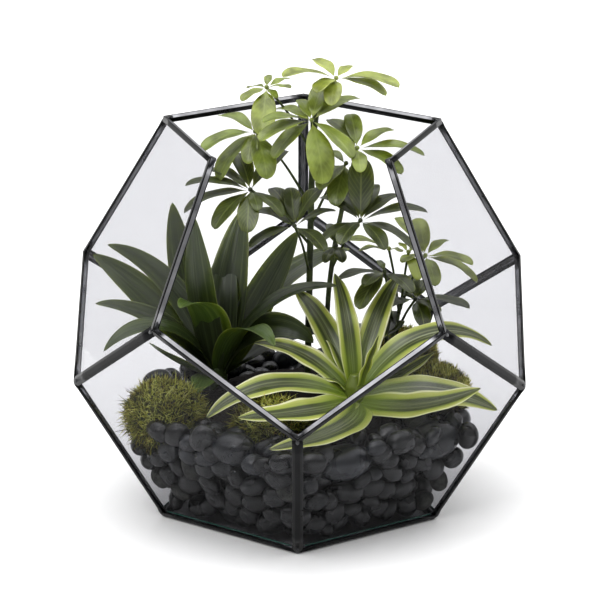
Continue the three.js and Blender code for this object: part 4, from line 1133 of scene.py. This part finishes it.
def umbrella_leaf_material(settings):
    """Leaflet of an umbrella tree: waxy, dark to lime green by how young it is, a little
    cloudy, with a pale midrib and faint side veins that also stand out."""
    made, node = new_material("umbrella_tree_leaflet")
    _, up, across, tint = leaf_coordinates(node)
    slant = node("Math", {0: across, 1: -0.32, 2: up}, operation="MULTIPLY_ADD")
    turns = node("Math", {0: slant, 1: 62.0}, operation="MULTIPLY")
    wave = node("Math", {0: turns}, operation="SINE")
    veins = node("MapRange", {
        "Value": wave, "From Min": 0.6, "From Max": 1.0, "To Min": 0.0, "To Max": 0.14})
    base = node("ValToRGB", {"Fac": tint}, (
        (0.0, "#28310f"), (0.3, "#49532f"), (0.6, "#74833a"), (0.8, "#8f9d4a"),
        (1.0, "#a3ad58")))
    place = node("TexCoord").outputs["Object"]
    patch = node("TexNoise", {"Vector": place, "Scale": cells(LEAFLET_CLOUD), "Detail": 2.0})
    cloud = node("ValToRGB", {"Fac": patch}, ((0.36, "#b4b599"), (0.62, "#ffffff")))
    pulp = node("Mix", {SHARE: 1.0, UNDER: base, OVER: cloud},
                data_type="RGBA", blend_type="MULTIPLY")
    rib = node("ValToRGB", {"Fac": across}, ((0.03, "#8d8d8d"), (0.11, "#000000")))
    pale = node("Math", {0: rib, 1: veins}, operation="MAXIMUM")
    colour = node("Mix", {SHARE: pale, UNDER: pulp, OVER: linear("#a3ae66")},
                  data_type="RGBA")
    return leaf_shader(made, node, colour, pale, settings)


def stem_material():
    """Green bark of a young umbrella tree: olive with paler pores."""
    return mottled("young_green_bark", BARK, 4.0, (
        (0.3, "#2a3317"), (0.62, "#4d5a2b"), (0.8, "#7c8250")), (0.4, 0.0006), Roughness=0.55)


def floor_material():
    """A seamless white paper sweep, matt."""
    made, node = new_material("white_paper_sweep")
    return show(made, node("BsdfPrincipled", {
        "Base Color": linear("#fbfbfb"), "Roughness": 0.9, "Specular IOR Level": 0.1}))


# ---- settings

PART = {"min": 0, "max": 1, "subtype": "FACTOR"}  # a setting that is a share of a whole


class CameSettings(bpy.types.PropertyGroup):
    metal: FloatProperty(
        name="Metal", description="How metallic the patina looks", default=0.9, **PART)


class GlassSettings(bpy.types.PropertyGroup):
    tint: FloatVectorProperty(
        name="Tint", description="Light that one face of a pane lets through",
        default=linear("#f0f0f1"), size=4, min=0, max=1, subtype="COLOR")
    shine: FloatProperty(
        name="Shine", description="Share of light that one face reflects, seen square on",
        default=0.004, **PART)
    glare: FloatProperty(
        name="Glare", description="Share of light that one face reflects, seen edge on",
        default=0.35, **PART)


class PebbleSettings(bpy.types.PropertyGroup):
    count: IntProperty(
        name="Pebbles", description="Loose pebbles in the bed", default=430, min=50, max=700)
    seed: IntProperty(
        name="Seed", description="Which random layout is used", default=4, min=0)


class MossSettings(bpy.types.PropertyGroup):
    shoots: IntProperty(
        name="Shoots", description="Shoots on the largest cushion",
        default=10300, min=500, max=10500)
    glow: FloatProperty(
        name="Glow", description="Light that comes through the shoots", default=0.15, **PART)


class LeafSettings(bpy.types.PropertyGroup):
    shine: FloatProperty(
        name="Roughness", description="Roughness of the leaves' wax", default=0.34, **PART)
    glow: FloatProperty(
        name="Glow", description="Light that comes through the leaves", default=0.35, **PART)


class StageSettings(bpy.types.PropertyGroup):
    sky: FloatProperty(
        name="Fill", description="Strength of the light from all round",
        default=0.55, min=0, max=4)
    lamp: FloatProperty(
        name="Lamps", description="Strength that the lamps share, in watts per square metre",
        default=1.75, min=0, max=20)
    gamma: FloatProperty(
        name="Print gamma", description="Below one, the darks print deeper",
        default=0.85, min=0.5, max=1.5)


class TerrariumSettings(bpy.types.PropertyGroup):
    came: PointerProperty(type=CameSettings)
    glass: PointerProperty(type=GlassSettings)
    pebbles: PointerProperty(type=PebbleSettings)
    moss: PointerProperty(type=MossSettings)
    leaves: PointerProperty(type=LeafSettings)
    stage: PointerProperty(type=StageSettings)


# ---- operators


class TERRARIUM_OT_came(bpy.types.Operator):
    """Draws every bar of the came with worn edges, and solders the corners"""
    bl_idname = "terrarium.came"
    bl_label = "Came and solder"

    def execute(self, context):
        finish = came_material(context.scene.terrarium.came)
        corners = {}
        for name, a, b in edges():
            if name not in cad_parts:
                continue
            make_piece(f"{name}_came", [came_bar(a, b)], finish, [name])
            for tip, far in ((a, b), (b, a)):
                corners.setdefault(tuple(np.round(tip, 2)), []).append((tip, far))
        beads = [solder_bead(meets[0][0], [far for _, far in meets], SEEDS["solder"] + k)
                 for k, meets in enumerate(corners.values())]
        make_piece("solder_joints", beads, solder_material())
        return {"FINISHED"}


class TERRARIUM_OT_glass(bpy.types.Operator):
    """Gives the panes their glass, and the lower ones the green line of their cut edge"""
    bl_idname = "terrarium.glass"
    bl_label = "Glass"

    def execute(self, context):
        finish = glass_material(context.scene.terrarium.glass)
        for name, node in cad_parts.items():
            if name.startswith("pane_"):
                node.data.materials.clear()
                node.data.materials.append(finish)
        lines = [pane_edge(*wall["corners"][:2], wall)
                 for wall in WALLS if wall["name"] != "bottom"]
        make_piece("pane_cut_edges", lines, cut_edge_material())
        return {"FINISHED"}


class TERRARIUM_OT_pebbles(bpy.types.Operator):
    """Lays the pebbles: the large stones, those that show in front and the loose bed"""
    bl_idname = "terrarium.pebbles"
    bl_label = "Pebbles"

    def execute(self, context):
        settings = context.scene.terrarium.pebbles
        plain = pebble_material("tumbled_basalt_pebble")
        flecked = pebble_material("speckled_river_pebble", speckled=True)
        keep_out = []
        for k, (name, (centre, halves, turn, tint)) in enumerate(STONES.items()):
            shape = rubbed([halves], turned(np.radians(turn)), [centre], STONE_GRID,
                           SEEDS["stones"] + k, tint)
            make_piece(f"{name}_worn", [shape], plain, [name])
            keep_out += [(np.array(centre) * (out, out, 1), np.array(halves) + STONE_ROOM)
                         for out in (1, STONE_CLEARING)]
        keep_out += [(np.array(centre), np.array(halves) + MOSS_ROOM)
                     for centre, halves in MOSS.values()]
        rng = np.random.default_rng(settings.seed)
        front, sizes, turn = (np.array(column, float) for column in zip(*FRONT_PEBBLES))
        shown = len(front)
        lie = turned(np.arctan2(front[:, 0], -front[:, 1]), np.radians(turn),
                     np.radians(FRONT_TILT))
        centres, turns, halves = bed_pebbles(settings.count, settings.seed)
        held = np.arange(shown + settings.count) < shown
        places = settle(np.concatenate([front, centres]), np.concatenate([lie, turns]),
                        np.concatenate([sizes, halves]), held, keep_out)
        # painted shade: the lower a pebble lies in the bed, the darker it is painted
        least, more, power = DEPTH_SHADE
        depth_shade = least + more * np.clip(places[:, 2] / BED_TOP, 0, 1) ** power
        tint = rng.uniform(0, 1, len(held)) ** MOSTLY_DARK * depth_shade
        spotted = rng.uniform(0, 1, shown) < SPOTTED
        for name, chosen, finish in (("front_pebbles_plain", ~spotted, plain),
                                     ("front_pebbles_speckled", spotted, flecked)):
            shape = rubbed(sizes[chosen], lie[chosen], places[:shown][chosen], FRONT_GRID,
                           SEEDS["front"], tint[:shown][chosen])
            make_piece(name, [shape], finish, ["pebble_bed"])
        loose = rubbed(halves, turns, places[shown:], LOOSE_GRID, SEEDS["loose"], tint[shown:])
        make_piece("loose_pebbles", [loose], plain, ["pebble_bed"])
        return {"FINISHED"}


class TERRARIUM_OT_soil(bpy.types.Operator):
    """Heaps the soil"""
    bl_idname = "terrarium.soil"
    bl_label = "Soil"

    def execute(self, context):
        mound = soil_mound(SEEDS["soil"])
        make_piece("potting_soil", [mound], soil_material(), ["soil"])
        return {"FINISHED"}


class TERRARIUM_OT_moss(bpy.types.Operator):
    """Grows the cushions of moss"""
    bl_idname = "terrarium.moss"
    bl_label = "Moss"

    def execute(self, context):
        settings = context.scene.terrarium.moss
        finish = moss_material(settings)
        largest = max(np.prod(halves) for _, halves in MOSS.values())
        for k, (name, (centre, halves)) in enumerate(MOSS.items()):
            seed = SEEDS["moss"] + 10 * k
            count = int(settings.shoots * (np.prod(halves) / largest) ** (2 / 3))
            shoots = moss_shoots(centre, halves, count, HABITS[name], seed)
            make_piece(f"{name}_shoots", [moss_cushion(centre, halves, seed), shoots], finish,
                       [name])
        return {"FINISHED"}


class TERRARIUM_OT_dracaenas(bpy.types.Operator):
    """Grows the dark and the yellow-edged dracaena"""
    bl_idname = "terrarium.dracaenas"
    bl_label = "Dracaenas"

    def execute(self, context):
        settings = context.scene.terrarium.leaves
        plants = (
            ("dracaena_green", "leaf_green", GREEN_CROWN, GREEN_LEAVES, STRAP_GREEN,
             green_leaf_material(settings)),
            ("dracaena_striped", "leaf_striped", STRIPED_CROWN, STRIPED_LEAVES, STRAP_STRIPED,
             striped_leaf_material(settings)),
        )
        for k, (name, slot, crown, leaves, form, finish) in enumerate(plants):
            line = [np.array(crown) + (0, 0, z) for _, z in CROWN]
            shapes = [tube(line, [r for r, _ in CROWN], 20, uv=PLAIN_SKIN)]
            for i, leaf in enumerate(leaves):
                # the dark dracaena's tint is painted light on its front leaves
                youth_and_painted_light = green_front_light(leaf) if name == "dracaena_green" else None
                shapes.append(blade(leaf, strap_root(crown, leaf), form,
                                    SEEDS["straps"] + 50 * k + i, youth_and_painted_light))
            make_piece(f"{name}_leaves", shapes, finish, [name])
        return {"FINISHED"}


class TERRARIUM_OT_umbrella(bpy.types.Operator):
    """Grows the umbrella tree"""
    bl_idname = "terrarium.umbrella"
    bl_label = "Umbrella tree"

    def execute(self, context):
        settings = context.scene.terrarium.leaves
        finish, bark = umbrella_leaf_material(settings), stem_material()
        for k, (name, (girth, stem, leaves)) in enumerate(UMBRELLA.items()):
            radii = [girth * taper for taper in STEM_TAPER]
            wood = [tube(stem, radii, 14, SEEDS["stems"] + k, 60)]
            fans = []
            for i, leaf in enumerate(leaves):
                stalk, blades = umbrella_leaf(leaf, SEEDS["leaflets"] + 100 * k + 10 * i)
                wood.append(stalk)
                fans += blades
            make_piece(f"{name}_wood", wood, bark, [name])
            make_piece(f"{name}_leaflets", fans, finish, [name])
        return {"FINISHED"}


class TERRARIUM_OT_stage(bpy.types.Operator):
    """Sets the floor, the soft light and the camera"""
    bl_idname = "terrarium.stage"
    bl_label = "Stage"

    def execute(self, context):
        scene = context.scene
        settings = scene.terrarium.stage
        mesh = bpy.data.meshes.new("paper_sweep")
        mesh.from_pydata([(x * FLOOR_REACH, y * FLOOR_REACH, 0)
                          for x, y in ((-1, -1), (1, -1), (1, 1), (-1, 1))], [], [(0, 1, 2, 3)])
        mesh.materials.append(floor_material())
        floor = bpy.data.objects.new("paper_sweep", mesh)
        scene.collection.objects.link(floor)
        scene.world = bpy.data.worlds.new("white_room")
        scene.world.use_nodes = True
        glow = scene.world.node_tree.nodes["Background"].inputs
        glow["Color"].default_value = linear("#ffffff")
        glow["Strength"].default_value = settings.sky
        for name, place, width, share in LAMPS:
            light = bpy.data.lights.new(name, "SUN")
            light.energy = settings.lamp * share
            light.angle = np.radians(width)
            lamp = bpy.data.objects.new(name, light)
            lamp.rotation_mode = "QUATERNION"
            lamp.rotation_quaternion = Vector(heading(*np.radians(place))).to_track_quat("Z", "Y")
            scene.collection.objects.link(lamp)
        azimuth, elevation, roll = np.radians([VIEW_AZIMUTH, VIEW_ELEVATION, VIEW_ROLL])
        back, level = heading(azimuth, elevation), heading(azimuth + np.pi / 2, 0.0)
        upright = np.cross(back, level)
        right = np.cos(roll) * level + np.sin(roll) * upright
        pose = np.eye(4)
        pose[:3] = np.stack([right, np.cross(back, right), back,
                             (VIEW_TARGET + back * VIEW_DISTANCE) * MM], 1)
        data = bpy.data.cameras.new("camera")
        data.sensor_width = SENSOR
        data.lens = FOCAL_PIXELS * SENSOR / IMAGE_PIXELS
        scene.camera = bpy.data.objects.new("camera", data)
        scene.camera.matrix_world = Matrix(pose)
        scene.collection.objects.link(scene.camera)
        scene.view_settings.view_transform = "Standard"
        scene.view_settings.gamma = settings.gamma
        return {"FINISHED"}


OPERATORS = (
    TERRARIUM_OT_stage, TERRARIUM_OT_came, TERRARIUM_OT_glass, TERRARIUM_OT_pebbles,
    TERRARIUM_OT_soil, TERRARIUM_OT_moss, TERRARIUM_OT_dracaenas, TERRARIUM_OT_umbrella)


class TERRARIUM_PT_panel(bpy.types.Panel):
    """Lists the terrarium's operators and settings"""
    bl_label = "Terrarium"
    bl_idname = "TERRARIUM_PT_panel"
    bl_space_type = "VIEW_3D"
    bl_region_type = "UI"
    bl_category = "Terrarium"

    def draw(self, context):
        settings = context.scene.terrarium
        for operator in OPERATORS:
            self.layout.operator(operator.bl_idname)
        for group in settings.__annotations__:
            box = self.layout.box()
            owner = getattr(settings, group)
            for name in owner.__annotations__:
                box.prop(owner, name)


CLASSES = (CameSettings, GlassSettings, PebbleSettings, MossSettings, LeafSettings,
           StageSettings, TerrariumSettings, *OPERATORS, TERRARIUM_PT_panel)


def register():
    for item in CLASSES:
        bpy.utils.register_class(item)
    bpy.types.Scene.terrarium = PointerProperty(type=TerrariumSettings)


def unregister():
    del bpy.types.Scene.terrarium
    for item in reversed(CLASSES):
        bpy.utils.unregister_class(item)


def main():
    """Registers the add-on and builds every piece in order."""
    register()
    bpy.ops.terrarium.stage()
    bpy.ops.terrarium.came()
    bpy.ops.terrarium.glass()
    bpy.ops.terrarium.pebbles()
    bpy.ops.terrarium.soil()
    bpy.ops.terrarium.moss()
    bpy.ops.terrarium.dracaenas()
    bpy.ops.terrarium.umbrella()


if __name__ == "__main__":
    main()
